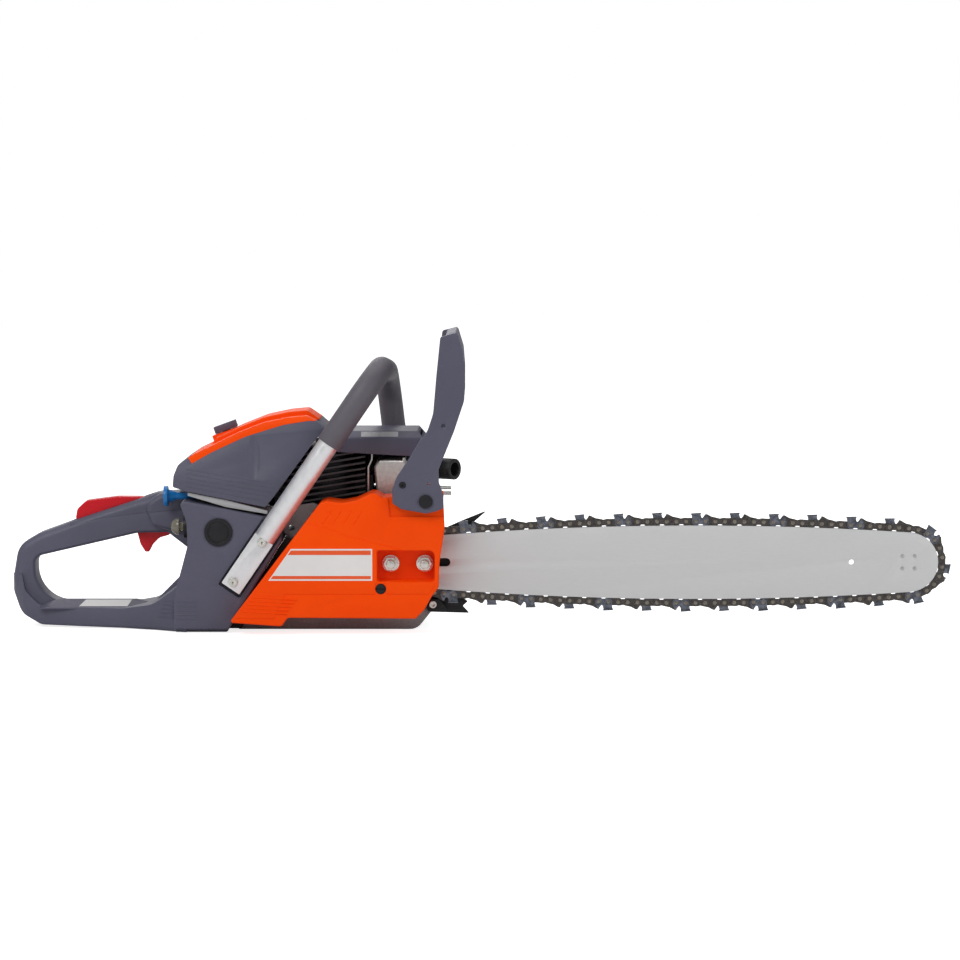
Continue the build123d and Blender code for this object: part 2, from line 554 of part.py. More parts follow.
# ---------------------------------------------------------------- engine
CRANK_R = 7.5
WEB_R = 30.0
ROD = 60.0
FIN_STEP = 5.74
FIN_FRONT = -117.0             # plane at which the fins end, short of the heat shield
PORT_FRONT = -109.9            # face of the exhaust port


def along_cylinder(shape):
    """Takes a shape drawn on a vertical cylinder over the crankshaft's axis at the origin to its place."""
    return Pos(DRIVE_X, 0, AXIS_Z) * Rot(0, -CYLINDER_LEAN, 0) * shape


def cylinder_and_piston():
    fins = []
    for k in range(12):
        w = 47 if k < 10 else 47 - 4 * (k - 9)
        fins.append(Pos(-1, 0, 44.5 + k * FIN_STEP) * extrude(RectangleRounded(2 * w, 80, 12), amount=1.9))
    fins = Compound(children=fins) - Rot(0, CYLINDER_LEAN, 0) * block(FIN_FRONT - DRIVE_X, 80, -60, 60, 0, 160)
    barrel = Pos(0, 0, 37 + 36) * Cylinder(28, 72) + Pos(0, 0, 39.5) * Box(68, 66, 5) + fins
    barrel += Pos(-40, 0, 71) * Box(30, 36, 30) + Pos(38, 0, 64) * Box(22, 34, 26)
    barrel -= Rot(0, CYLINDER_LEAN, 0) * block(PORT_FRONT - DRIVE_X, 80, -60, 60, 0, 160)
    barrel -= Pos(0, 0, 37 + 29.5) * Cylinder(BORE_R + RUN, 61)
    barrel -= Pos(-38, 0, 71) * Rot(0, 90, 0) * Cylinder(9, 40)
    barrel -= Pos(36, 0, 64) * Rot(0, 90, 0) * Cylinder(9, 40)
    barrel -= Pos(-6, 0, 104) * Rot(0, -18, 0) * (Cylinder(5.02, 40) + Pos(0, 0, 17.9) * Cylinder(11, 20))
    crown = THROW + ROD + 15
    piston = Pos(0, 0, crown - 16) * Cylinder(BORE_R, 32) - Pos(0, 0, crown - 20) * Cylinder(BORE_R - 3, 32)
    piston += Pos(0, 15, THROW + ROD) * Box(16, 13, 18) + Pos(0, -15, THROW + ROD) * Box(16, 13, 18)
    piston = piston & Pos(0, 0, crown - 16) * Cylinder(BORE_R, 32)
    for k in range(2):
        z = crown - 3 - 4 * k
        piston -= Pos(0, 0, z) * (Cylinder(BORE_R + 1, 1.4) - Cylinder(BORE_R - 1.5, 1.4))
    piston -= Pos(0, 0, THROW + ROD) * Rot(90, 0, 0) * Cylinder(5.02, 60)
    wrist = Pos(0, 0, THROW + ROD) * Rot(90, 0, 0) * (Cylinder(5, 40) - Cylinder(3, 50))
    big = Pos(0, 0, THROW) * Rot(90, 0, 0) * Cylinder(13, 11)
    small_end = Pos(0, 0, THROW + ROD) * Rot(90, 0, 0)
    rod = big + small_end * Cylinder(8.5, 11) + Pos(0, 0, THROW + ROD / 2) * Box(9, 6, ROD - 12)
    rod -= Pos(0, 0, THROW) * Rot(90, 0, 0) * Cylinder(7.02, 20) + small_end * Cylinder(5.02, 20)
    crank_pin = Pos(0, 0, THROW) * Rot(90, 0, 0) * Cylinder(7, 16)
    plug = Cylinder(5, 16) + Pos(0, 0, 8) * extrude(RegularPolygon(10, 6), amount=7)
    plug += Pos(0, 0, 22) * Cylinder(6.4, 14) + Pos(0, 0, 31) * Cylinder(9, 9)
    plug = Pos(-6, 0, 104) * Rot(0, -18, 0) * plug
    parts = {"cylinder": [barrel], "piston": [piston], "rod_pins": [wrist, crank_pin], "connecting_rod": [rod],
             "spark_plug": [plug]}
    return {name: [along_cylinder(shape) for shape in shapes] for name, shapes in parts.items()}


def crankshaft():
    shaft = pin_y(DRIVE_X, AXIS_Z, CRANK_R, -88, -8.4) + pin_y(DRIVE_X, AXIS_Z, CRANK_R, 8.4, 58)
    for s in (-1, 1):
        web = pin_y(DRIVE_X, AXIS_Z, WEB_R, *sorted((s * 8.4, s * 19.5)))
        for k in (-1, 1):
            web -= turned(pin_y(DRIVE_X, AXIS_Z + 19, 5, *sorted((s * 12, s * 20))), DRIVE_X, AXIS_Z,
                          -CYLINDER_LEAN + 32 * k)
        shaft += web
    return {"crankshaft": list(shaft.solids())}


CASE = [(-247.6, 0, 4), (-192.8, 90, 6), (-198, 96.6, 3), (-101.4, 111.9, 4), (-92, 102, 8),
        (-46, 98, 6), (-40, 88, 10), (-40, 32, 30), (-66, 0, 14)]
PAD = [(-106, AXIS_Z - 15, 3), (-52, AXIS_Z - 24, 3), (-52, AXIS_Z + 24, 3), (-106, AXIS_Z + 15, 3)]
EAR = [(-190, 86, 0), (-201, 104, 4), (-196, 121, 3), (-168, 125.5, 3), (-150, 118, 3), (-150, 86, 0)]
SPIKE_SCREWS = [(-45, 44), (-45, 90)]


def crankcase():
    body = slab(CASE, CASE_Y[0], CASE_Y[1]) + slab(PAD, BAR_Y + 2.6, CASE_Y[0] + 1)
    body += slab(EAR, -47.4, -42.5) - pin_y(-189.5, 100.5, 3.2, -50, -40)
    body += pin_y(DRIVE_X, AXIS_Z, 22, -56, -44)
    lug = block(-84, -60, 38, 84.5, 14, 34)
    lug = fillet(lug.edges().filter_by(Axis.Y), 6)
    body += lug
    body -= pin_y(DRIVE_X, AXIS_Z, 32, -21, 21) + pin_y(DRIVE_X, AXIS_Z, CRANK_R + RUN, -70, 70)
    body -= along_cylinder(Pos(0, 0, 30) * Cylinder(BORE_R + 1, 40))
    oil = slab([(-96, 8, 4), (-96, 88, 6), (-54, 88, 6), (-50, 80, 6), (-50, 36, 24), (-70, 8, 10)], -34, 34)
    body -= oil + pin_y(*OIL_CAP, 10.0, 30, 50)
    body -= slab([(-226, 6, 4), (-190, 66, 6), (-182, 66, 4), (-182, 6, 4)], -38, 32)
    for x in STUD_X:
        body -= pin_y(x, AXIS_Z, STUD_R + 0.02, -70, -30)
    for x, z in SPIKE_SCREWS:
        body -= pin_y(x, z, 2.52, -60, -36)
    body -= pin_y(*CATCHER_SCREW, 2.52, -50, -36)
    halves = [max((body & block(-300, 0, y0, y1, -5, 200)).solids(), key=lambda s: s.volume)
              for y0, y1 in ((-100, 0), (0, 100))]
    return {"crankcase": halves}


CATCHER_SCREW = (-50, 25.6)


def rotor_and_clutch():
    fly = ring_y(DRIVE_X, AXIS_Z, 46, CRANK_R + 0.02, 43, 49)
    for k in range(18):
        vane = block(DRIVE_X + 24, DRIVE_X + 44.5, 48.5, 57, AXIS_Z - 1.1, AXIS_Z + 1.1)
        fly += turned(turned(vane, DRIVE_X + 24, AXIS_Z, 14), DRIVE_X, AXIS_Z, 20 * k)
    fly += ring_y(DRIVE_X, AXIS_Z, 22, CRANK_R + 0.02, 48, 54)
    hub = ring_y(DRIVE_X, AXIS_Z, 12, CRANK_R + 0.02, -87, -69.5)
    for k in range(3):
        shoe = ring_y(DRIVE_X, AXIS_Z, 28.5, 15, -86, -72) & turned(
            slab([(DRIVE_X, AXIS_Z, 0), (DRIVE_X - 42, AXIS_Z + 66, 0), (DRIVE_X + 42, AXIS_Z + 66, 0)],
                 -90, -60),
            DRIVE_X, AXIS_Z, 120 * k)
        arm = block(DRIVE_X - 4, DRIVE_X + 4, -84, -74, AXIS_Z + 10, AXIS_Z + 18)
        hub += shoe + turned(arm, DRIVE_X, AXIS_Z, 120 * k)
    drum = ring_y(DRIVE_X, AXIS_Z, 33.5, 31, -89, -68) + ring_y(DRIVE_X, AXIS_Z, 33.5, 12.6, -68, -66.2)
    band = ring_y(DRIVE_X, AXIS_Z, 35.0, 33.9, -86, -72)
    band -= turned(block(DRIVE_X - 4, DRIVE_X + 4, -90, -60, AXIS_Z + 20, AXIS_Z + 50), DRIVE_X, AXIS_Z, -20)
    return {"flywheel": [fly], "clutch_hub": [hub], "clutch_drum": [drum], "brake_band": [band]}


MUFFLER_Y = (-38, 38)
OUTLET = (-14, 157)            # y, z of the exhaust outlet


def exhaust():
    shield = slab([(-111.2, 178, 0), (-109.6, 178, 0), (-109.6, 167.5, 0), (-113.1, 160, 0), (-113.1, 118, 0),
                   (-114.7, 118, 0), (-114.7, 160.4, 0), (-111.2, 168, 0)], -38, 38)
    shield -= block(-120, -105, -18.5, 18.5, 121, 155)
    box = [(-104, 118, 6), (-108.8, 160, 6), (-104, 168.6, 6), (-52, 168.6, 8), (-45, 158, 6), (-45, 126, 6),
           (-52, 118, 6)]
    can = rounded_slab(box, *MUFFLER_Y, 4)
    can += slab([(-78, 115, 1), (-80, 169.8, 1), (-77, 169.8, 1), (-75, 115, 1)], -40, 40)
    y, z = OUTLET
    can -= pin_x(y + 6, z, 5.5, -60, -40)
    can += pin_x(-30, 139.3, 1.9, -46, -32) + pin_x(-30, 133.8, 1.9, -46, -32)
    inside = pin_between((-60, y + 15, z), (-20, y - 15, z), 6.8)
    nozzle = pin_between((-52, y + 9, z), (-28.6, y - 8.5, z), 10.5) - inside
    nozzle += block(-44.7, -41.8, y - 8, y + 24, z - 9, z - 1.5) - inside
    duct = nozzle - block(-90, -44.7, y - 40, y + 40, z - 30, z + 30)
    return {"heat_shield": [shield], "muffler_body": [can],
            "exhaust_deflector": [max(duct.solids(), key=lambda s: s.volume)]}


def shroud():
    """Hood over the cylinder and the muffler, open below and to the rear."""
    hood = front([(-44, 150, 0), (-44, 189.5, 3), (-33, 196, 8), (56, 196, 4), (56, 130, 0)], -151, -58)
    hood -= front([(-41.2, 120, 0), (-41.2, 188.2, 2), (-32, 193.2, 6), (53, 193.2, 2), (53, 120, 0)],
                  -152, -61)
    near = [(-151, 197, 0), (-66, 197, 6), (-57.5, 187, 5), (-57.5, 171, 1), (-90, 172.5, 30), (-151, 176, 0)]
    far = [(-151, 197, 0), (-66, 197, 6), (-57.5, 187, 5), (-62, 150, 8), (-84, 138, 6), (-151, 138, 3)]
    return {"cylinder_shroud": [hood & (slab(near, -60, 50) + slab(far, 50, 70))]}


# ---------------------------------------------------------------- clutch cover and bar clamp
COVER = [(-248.1, 12.4, 2), (-158.8, 129.7, 4), (-152.7, 131.6, 3), (-137.7, 129.4, 20),
         (-124.2, 131.9, 20), (-109.1, 139, 6), (-103.9, 138.5, 3), (-97.7, 134.6, 3), (-39.3, 138, 2),
         (-37.8, 105.6, 30), (-43, 71, 40), (-43.7, 47.2, 6), (-50.6, 38, 6), (-58, 24.6, 4),
         (-66.3, 16.3, 4), (-191, 17.2, 4), (-197.1, 8.7, 4)]
COVER_HOLLOW = [(-240, 15.4, 1), (-156.5, 125.6, 3), (-110, 131, 6), (-41, 134, 1), (-30, 134, 0),
                (-30, 24, 0), (-64, 20, 3), (-188, 20.4, 4), (-196, 13.5, 3)]
NUT_RECESS = [(-104, 52.5, 3), (-47.6, 52.5, 3), (-47.6, 83.5, 6), (-104, 83.5, 3)]
TENSIONER = (-100.2, 45.6)


def clutch_cover():
    shell = slab(COVER, COVER_Y, -48)
    rim = shell.faces().filter_by(Axis.Y).sort_by(Axis.Y)[0].edges()
    shell = fillet(rim, 1.8)
    shell -= slab(COVER_HOLLOW, COVER_Y + 3, -40)
    shell += slab([(-106.6, 50, 4), (-44.6, 50, 3), (-44.6, 86, 6), (-106.6, 86, 4)],
                  COVER_Y + 3, BAR_Y - 2.6)
    shell -= slab(NUT_RECESS, COVER_Y - 1, -72)
    shell -= slab([(-300, -10, 0), (-255, -10, 0), (-190, 97, 0), (-300, 97, 0)], HOUSING_Y[0] - 0.5, -40)
    for x in STUD_X:
        shell -= pin_y(x, AXIS_Z, STUD_R + 0.3, -80, -60)
    shell -= pin_y(*TENSIONER, 5.3, -100, -90)
    shell -= slab([(-91.5, 116, 1.5), (-36, 116, 0), (-36, 150, 0), (-94.5, 150, 0)], COVER_Y - 1, COVER_Y + 2)
    shell -= pin_y(*GUARD_PIVOT, 5.02, -100, -80)
    shell += ring_y(*GUARD_PIVOT, 9, 5.02, COVER_Y + 1, COVER_Y + 8)
    tensioner = pin_y(*TENSIONER, 5.0, -97.6, -94) + pin_y(*TENSIONER, 3.0, -95, -68)
    tensioner -= block(TENSIONER[0] - 6, TENSIONER[0] + 6, -98, -96.2, TENSIONER[1] - 0.7, TENSIONER[1] + 0.7)
    studs = [pin_y(x, AXIS_Z, STUD_R, -86, -32) for x in STUD_X]
    nuts = [hex_y(x, AXIS_Z, 13, -80, -74) + pin_y(x, AXIS_Z, 8.4, -74.2, -72)
            - pin_y(x, AXIS_Z, STUD_R + 0.02, -90, -60) for x in STUD_X]
    return {"clutch_cover": [max(shell.solids(), key=lambda s: s.volume)], "tensioner_screw": [tensioner],
            "bar_studs": studs, "bar_nuts": nuts}


SPIKE = [(-56, 32, 3), (-56, 17.6, 4), (-14, 16.5, 0.5), (-20.5, 23.5, 1), (-15.5, 28, 1), (-26, 36, 6),
         (-12, 50, 0.6), (-24, 60, 6), (-10, 72, 0.6), (-24, 82, 6), (-20, 98, 6), (4, 118.5, 0.6),
         (-22, 108, 4), (-40, 100, 6), (-50, 96, 3), (-50, 40, 6)]


def spike_and_catcher():
    plate = slab(SPIKE, -49.4, -47.6)
    plate -= pin_y(*CATCHER_SCREW, 2.55, -60, -40)
    for x, z in SPIKE_SCREWS:
        plate -= pin_y(x, z, 2.55, -60, -40)
    catcher = slab([(-56, 31, 5), (-56, 18.5, 4), (-36, 18, 2), (-38, 24, 3), (-43, 31, 4)], -55.4, -49.6)
    catcher -= pin_y(*CATCHER_SCREW, 2.55, -80, -40)
    return {"bumper_spike": [plate], "chain_catcher": [catcher]}


# ---------------------------------------------------------------- front handle and hand guard
LEG_FOOT = (-249.4, 42)
LEG_TOP = (-100.8, 260)
SLEEVE_FROM = 173.8            # where the grip sleeve begins, measured along the near leg
FAR_TOP = (-99, 249)
FAR_FOOT = (-72, 24)


def leg_point(s):
    """Point on the near leg's line, s from its foot, as x, z."""
    dx, dz = LEG_TOP[0] - LEG_FOOT[0], LEG_TOP[1] - LEG_FOOT[1]
    n = hypot(dx, dz)
    return LEG_FOOT[0] + dx / n * s, LEG_FOOT[1] + dz / n * s


def far_point(z):
    """Point of the far leg at height z."""
    (x0, z0), (x1, z1) = FAR_TOP, FAR_FOOT
    return x0 + (x1 - x0) * (z - z0) / (z1 - z0), HANDLE_FAR_Y, z


def bent_tube(path, r_out, r_in):
    start = Plane(origin=path @ 0, z_dir=path % 0)
    return sweep(start * Circle(r_out) - start * Circle(r_in), path=path)


def leg_plate(s0, s1, half, y0, y1, r):
    """Flat bar along the near leg."""
    angle = degrees(atan2(LEG_TOP[0] - LEG_FOOT[0], LEG_TOP[1] - LEG_FOOT[1]))
    bar = slab([(-half, s0, r), (-half, s1, r / 2), (half, s1, r / 2), (half, s0, r)], y0, y1)
    return Pos(LEG_FOOT[0], 0, LEG_FOOT[1]) * Rot(0, angle, 0) * bar


def front_handle():
    near, far = HANDLE_NEAR_Y, HANDLE_FAR_Y
    start, join = leg_point(62), leg_point(SLEEVE_FROM)
    corners = [(LEG_TOP[0], near, LEG_TOP[1]), far_point(FAR_TOP[1]), far_point(FAR_FOOT[1])]
    line = FilletPolyline((start[0], near, start[1]), *corners, radius=38)
    tube = bent_tube(line, HANDLE_TUBE_R, HANDLE_TUBE_R - 1.8)
    tube += leg_plate(3, 62, 10.4, near - 5, near + 9.4, 1) + leg_plate(56, 66, 8.4, near - 5, near + 5, 2)
    for x, z in HANDLE_SCREWS:
        tube -= pin_y(x, z, 2.6, -100, -60)
    tube += fillet(block(-83, -61, 85.2, 100, 12, 36).edges().filter_by(Axis.Y), 6)
    tube -= pin_y(-72, 24, 2.6, 70, 120)
    sleeve_line = FilletPolyline((join[0], near, join[1]), *corners[:-1], far_point(48), radius=38)
    sleeve = bent_tube(sleeve_line, HANDLE_SLEEVE_R, HANDLE_TUBE_R + 0.05)
    return {"front_handle_tube": [tube], "front_handle_sleeve": [sleeve]}


ARM = [(-41.9, 291.4, 3), (-26, 295.4, 3), (-20, 276, 20), (-18.6, 257, 20), (-18.6, 230, 20),
       (-28.8, 199.5, 30), (-36.9, 179.7, 20), (-43.6, 163, 12), (-43.3, 150, 8), (-38.9, 138, 6),
       (-38.9, 125.5, 2), (-45.5, 122.3, 4), (-55.5, 120, 3), (-79.8, 124.3, 4), (-88.6, 130.1, 3),
       (-88.6, 143.3, 8), (-84.7, 154.9, 16), (-71.5, 174.7, 30), (-61.7, 191.2, 20), (-54.5, 200, 16),
       (-48.9, 217, 30), (-45.7, 254.3, 60)]
PLATE = [(-41.9, 291.4, 3), (-26, 295.4, 3), (-20, 276, 20), (-18.6, 257, 20), (-18.6, 230, 20),
         (-30.5, 197.5, 2), (-36.5, 200, 1), (-26.5, 231, 18), (-26.5, 257, 20), (-28, 276, 10),
         (-33, 286, 4)]
LEFT_ARM = [(-41.9, 291.4, 3), (-26, 295.4, 3), (-19.5, 257, 40), (-19.5, 230, 20), (-36, 190, 30),
            (-46, 150, 20), (-46, 122, 10), (-68, 122, 10), (-68, 146, 20), (-52, 200, 40)]


def hand_guard():
    near, far = GUARD_Y
    guard = rounded_slab(ARM, near, near + 7, 1.2)
    plate = slab(PLATE, near, far)
    for y0, y1 in ((near + 16, -18), (-6, far - 14)):
        window = front([(y0, 214, 8), (y1, 214, 8), (y1, 266, 14), (y0, 266, 14)], -60, 0)
        plate -= window
    guard += plate + slab(LEFT_ARM, far - 6, far)
    guard -= pin_y(*GUARD_PIVOT, 5.0 + RUN, near - 5, near + 12)
    guard -= pin_y(*GUARD_PIVOT, 5.0 + RUN, far - 12, far + 5)
    guard -= pin_y(-39.2, 205.3, 2.2, near - 5, near + 12) + pin_y(-53.4, 149, 1.3, near - 5, near + 12)
    x, z = GUARD_PIVOT
    caps = [pin_y(x, z, 6.6, -109, -107.3) + pin_y(x, z, 5.0, -107.4, -91),
            pin_y(x, z, 5.0, 66, 82.4) + pin_y(x, z, 6.6, 82.3, 84)]
    return {"hand_guard": [guard], "guard_pivots": caps}


# ---------------------------------------------------------------- starter side
STARTER = [(-209, 30, 20), (-191.5, 93, 10), (-186, 112, 14), (-168, 132, 16), (-110, 134, 10),
           (-60, 142, 8), (-46, 138, 6), (-46, 124, 6), (-60, 118, 8), (-84, 104, 14), (-80, 60, 30),
           (-92, 6, 14), (-188, 3, 14)]
GRIP_X = DRIVE_X + 27.0        # line of the starter rope, tangent to the pulley


def starter():
    body = slab(STARTER, 41, 72) + pin_y(DRIVE_X, AXIS_Z, 54, 63, 83.5)
    outer = body.faces().filter_by(Axis.Y).sort_by(Axis.Y)
    body = fillet(outer[-1].edges(), 3)
    body -= pin_y(DRIVE_X, AXIS_Z, 49, 40, 58.5) + pin_y(DRIVE_X, AXIS_Z, 31.5, 58, 78)
    for k in range(20):
        slot = block(DRIVE_X + 34, DRIVE_X + 48, 55, 90, AXIS_Z - 2.2, AXIS_Z + 2.2)
        body -= turned(slot, DRIVE_X, AXIS_Z, 18 * k + 9)
    body -= Pos(GRIP_X, 64, AXIS_Z + 40) * Cylinder(2.6, 80)
    body += ring_y(DRIVE_X, AXIS_Z, 5, 0.01, 59.5, 79)
    body -= pin_y(GUARD_PIVOT[0], GUARD_PIVOT[1], 5.02, 64, 80)
    pulley = ring_y(DRIVE_X, AXIS_Z, 30.0, 5 + RUN, 60, 69)
    pulley -= ring_y(DRIVE_X, AXIS_Z, 40, 25.2, 62, 67)
    bar = Box(38, 13, 9)
    bar = fillet(bar.edges(), 3)
    collar = Pos(0, 0, -4.2) * Cylinder(6, 7)
    grip = Pos(GRIP_X, 64, 143.5) * (bar + collar - Pos(0, 0, -10) * Cylinder(1.77, 16))
    rope = Pos(GRIP_X, 64, AXIS_Z + 36.5) * Cylinder(1.75, 73)
    return {"starter_housing": [max(body.solids(), key=lambda s: s.volume)], "starter_pulley": [pulley],
            "starter_grip": [grip], "starter_rope": [rope]}


def screws_and_buffers():
    screws = [screw_y(x, z, HANDLE_NEAR_Y - 5, length=26) for x, z in HANDLE_SCREWS]
    screws += [screw_y(x, z, -49.4, head_r=4, head_h=2.2, length=12) for x, z in SPIKE_SCREWS]
    screws.append(screw_y(*CATCHER_SCREW, -55.4, head_r=3.6, head_h=1.9, length=18))
    ux, uz = LEAN_FRONT
    mounts = []
    for s in (34, 84):
        for y in (-30, 24):
            x, z = -252 + ux * s, uz * s
            a = (x + uz * 0.02, y, z - ux * 0.02)
            reach = MOUNT_LENGTH - 0.04
            mounts.append(pin_between(a, (x + uz * reach, y, z - ux * reach), 8))
    return {"housing_screws": screws, "vibration_mounts": mounts}


for build in (chain, guide_bar, sprockets, rear_handle, controls, caps_and_plug, top_cover, intake,
              cylinder_and_piston, crankshaft, crankcase, rotor_and_clutch, exhaust, shroud, clutch_cover,
              spike_and_catcher, front_handle, hand_guard, starter, screws_and_buffers):
    nodes.update(build())

for name, solids in nodes.items():
    group = Compound(children=[Pos(*TO_ORIGIN) * s for s in solids])
    group.label = name
    export_step(group, f"parts/{name}.step")
print(len(nodes), "nodes")
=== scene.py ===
import json
from math import cos, pi, radians, sin

import bmesh
import bpy
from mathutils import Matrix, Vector
from mathutils.bvhtree import BVHTree


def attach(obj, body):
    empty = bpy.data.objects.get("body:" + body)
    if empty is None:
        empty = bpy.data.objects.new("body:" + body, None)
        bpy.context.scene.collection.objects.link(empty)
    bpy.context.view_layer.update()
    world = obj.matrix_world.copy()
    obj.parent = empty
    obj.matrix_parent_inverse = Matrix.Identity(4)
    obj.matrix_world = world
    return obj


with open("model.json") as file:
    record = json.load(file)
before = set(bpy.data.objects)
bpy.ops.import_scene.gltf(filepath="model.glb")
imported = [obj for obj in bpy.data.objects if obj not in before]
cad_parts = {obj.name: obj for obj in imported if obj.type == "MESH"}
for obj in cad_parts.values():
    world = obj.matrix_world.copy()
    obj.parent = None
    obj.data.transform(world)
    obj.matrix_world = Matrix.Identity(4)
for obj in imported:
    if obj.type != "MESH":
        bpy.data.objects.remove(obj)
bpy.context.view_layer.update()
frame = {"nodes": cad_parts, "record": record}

mm = 0.001
nodes = frame["nodes"]
print("frame loaded", len(nodes), "nodes")


# camera, room, floor and lamps
studio = {
    "lookAt": (0.0015, -0.0621, 0.1493),
    "distance": 3.3,
    "elevation": 4.5,
    "widthSeen": 0.943,
    "filmWidth": 36,
    "farthest": 40,
    "world": 0.42,
    "floorGlow": 0.8,
    "floorReach": 9.0,
    "floorDrop": 0.0005,
    "floorTone": 0.86,
}
lamps = {
    "keyPanel": {"place": (-1.3, -1.9, 1.9), "target": (0, 0, 0.15), "size": (1.6, 1.2), "power": 27.0},
    "fillPanel": {"place": (1.9, -1.5, 0.9), "target": (0.1, 0, 0.1), "size": (1.4, 1.4), "power": 9.0},
    "topPanel": {"place": (0.0, 0.5, 2.2), "target": (0, 0, 0.1), "size": (2.2, 1.4), "power": 14.0},
    "backPanel": {"place": (-0.6, 2.2, 1.2), "target": (0, 0, 0.15), "size": (1.6, 1.2), "power": 9.0},
}
scene = bpy.context.scene
scene.view_settings.view_transform = "Standard"


def aimAt(holder, place, target):
    holder.location = place
    holder.rotation_euler = (Vector(target) - Vector(place)).to_track_quat("-Z", "Y").to_euler()
    scene.collection.objects.link(holder)


def setCamera():
    cam = bpy.data.cameras.new("viewCamera")
    cam.sensor_width = studio["filmWidth"]
    cam.lens = studio["filmWidth"] * studio["distance"] / studio["widthSeen"]
    cam.clip_end = studio["farthest"]
    eye = bpy.data.objects.new("viewCamera", cam)
    target = Vector(studio["lookAt"])
    tilt = radians(studio["elevation"])
    aimAt(eye, target + studio["distance"] * Vector((0, -cos(tilt), sin(tilt))), target)
    scene.camera = eye


def lampPanel(name, place, target, size, power):
    lamp = bpy.data.lights.new(name, "AREA")
    lamp.shape = "RECTANGLE"
    lamp.size, lamp.size_y = size
    lamp.energy = power
    aimAt(bpy.data.objects.new(name, lamp), place, target)


# soft light from all round, seen by the camera as plain white
def makeRoom():
    world = bpy.data.worlds.new("paleRoom")
    scene.world = world
    world.use_nodes = True
    tree = world.node_tree
    tree.nodes.clear()
    out = tree.nodes.new("ShaderNodeOutputWorld")
    lit = tree.nodes.new("ShaderNodeBackground")
    lit.inputs["Color"].default_value = (1, 1, 1, 1)
    lit.inputs["Strength"].default_value = studio["world"]
    seen = tree.nodes.new("ShaderNodeBackground")
    seen.inputs["Color"].default_value = (1, 1, 1, 1)
    seen.inputs["Strength"].default_value = 1.0
    rays = tree.nodes.new("ShaderNodeLightPath")
    blend = tree.nodes.new("ShaderNodeMixShader")
    tree.links.new(rays.outputs["Is Camera Ray"], blend.inputs[0])
    tree.links.new(lit.outputs[0], blend.inputs[1])
    tree.links.new(seen.outputs[0], blend.inputs[2])
    tree.links.new(blend.outputs[0], out.inputs["Surface"])


# a matte floor that glows for the camera only, so that it joins the white room but keeps the shadow
def makeFloor():
    sheet = bpy.data.meshes.new("floorSheet")
    reach = studio["floorReach"]
    corners = [(-reach, -reach, 0), (reach, -reach, 0), (reach, reach, 0), (-reach, reach, 0)]
    sheet.from_pydata(corners, [], [(0, 1, 2, 3)])
    floor = bpy.data.objects.new("floorSheet", sheet)
    floor.location = (0, 0, -studio["floorDrop"])
    scene.collection.objects.link(floor)
    mat = bpy.data.materials.new("paleFloor")
    mat.use_nodes = True
    tree = mat.node_tree
    tree.nodes.clear()
    out = tree.nodes.new("ShaderNodeOutputMaterial")
    matte = tree.nodes.new("ShaderNodeBsdfDiffuse")
    matte.inputs["Color"].default_value = (*[studio["floorTone"]] * 3, 1)
    glow = tree.nodes.new("ShaderNodeEmission")
    rays = tree.nodes.new("ShaderNodeLightPath")
    share = tree.nodes.new("ShaderNodeMath")
    share.operation = "MULTIPLY"
    share.inputs[1].default_value = studio["floorGlow"]
    both = tree.nodes.new("ShaderNodeAddShader")
    tree.links.new(rays.outputs["Is Camera Ray"], share.inputs[0])
    tree.links.new(share.outputs[0], glow.inputs["Strength"])
    tree.links.new(matte.outputs[0], both.inputs[0])
    tree.links.new(glow.outputs[0], both.inputs[1])
    tree.links.new(both.outputs[0], out.inputs["Surface"])
    sheet.materials.append(mat)


setCamera()
for lampName, lamp in lamps.items():
    lampPanel(lampName, **lamp)
makeRoom()
makeFloor()
print("studio built")


# shader groups: each gives a value, a colour or a normal
def newGroup(name, inputs, outputs):
    group = bpy.data.node_groups.new(name, "ShaderNodeTree")
    for label, kind, value in inputs:
        socket = group.interface.new_socket(label, in_out="INPUT", socket_type=kind)
        if value is not None:
            socket.default_value = value
    for label, kind in outputs:
        group.interface.new_socket(label, in_out="OUTPUT", socket_type=kind)
    return group, group.nodes.new("NodeGroupInput"), group.nodes.new("NodeGroupOutput")


def mathNode(tree, operation, *values):
    node = tree.nodes.new("ShaderNodeMath")
    node.operation = operation
    for i, value in enumerate(values):
        if isinstance(value, (int, float)):
            node.inputs[i].default_value = value
        else:
            tree.links.new(value, node.inputs[i])
    return node.outputs[0]


def noiseNode(tree, vector, scale, detail, rough):
    node = tree.nodes.new("ShaderNodeTexNoise")
    tree.links.new(vector, node.inputs["Vector"])
    if isinstance(scale, (int, float)):
        node.inputs["Scale"].default_value = scale
    else:
        tree.links.new(scale, node.inputs["Scale"])
    node.inputs["Detail"].default_value = detail
    node.inputs["Roughness"].default_value = rough
    return node.outputs["Fac"]


def spread(tree, value, low, high):
    node = tree.nodes.new("ShaderNodeMapRange")
    node.interpolation_type = "SMOOTHSTEP"
    tree.links.new(value, node.inputs["Value"])
    node.inputs["From Min"].default_value = low
    node.inputs["From Max"].default_value = high
    return node.outputs["Result"]


# broad and fine unevenness of a surface, both from 0 to 1
def makeClouding():
    group, gin, gout = newGroup(
        "clouding",
        [("Broad Scale", "NodeSocketFloat", 9.0), ("Fine Scale", "NodeSocketFloat", 160.0)],
        [("Broad", "NodeSocketFloat"), ("Fine", "NodeSocketFloat")])
    place = group.nodes.new("ShaderNodeTexCoord").outputs["Object"]
    broad = noiseNode(group, place, gin.outputs["Broad Scale"], 5.0, 0.6)
    fine = noiseNode(group, place, gin.outputs["Fine Scale"], 3.0, 0.6)
    group.links.new(spread(group, broad, 0.3, 0.7), gout.inputs["Broad"])
    group.links.new(spread(group, fine, 0.3, 0.7), gout.inputs["Fine"])
    return group


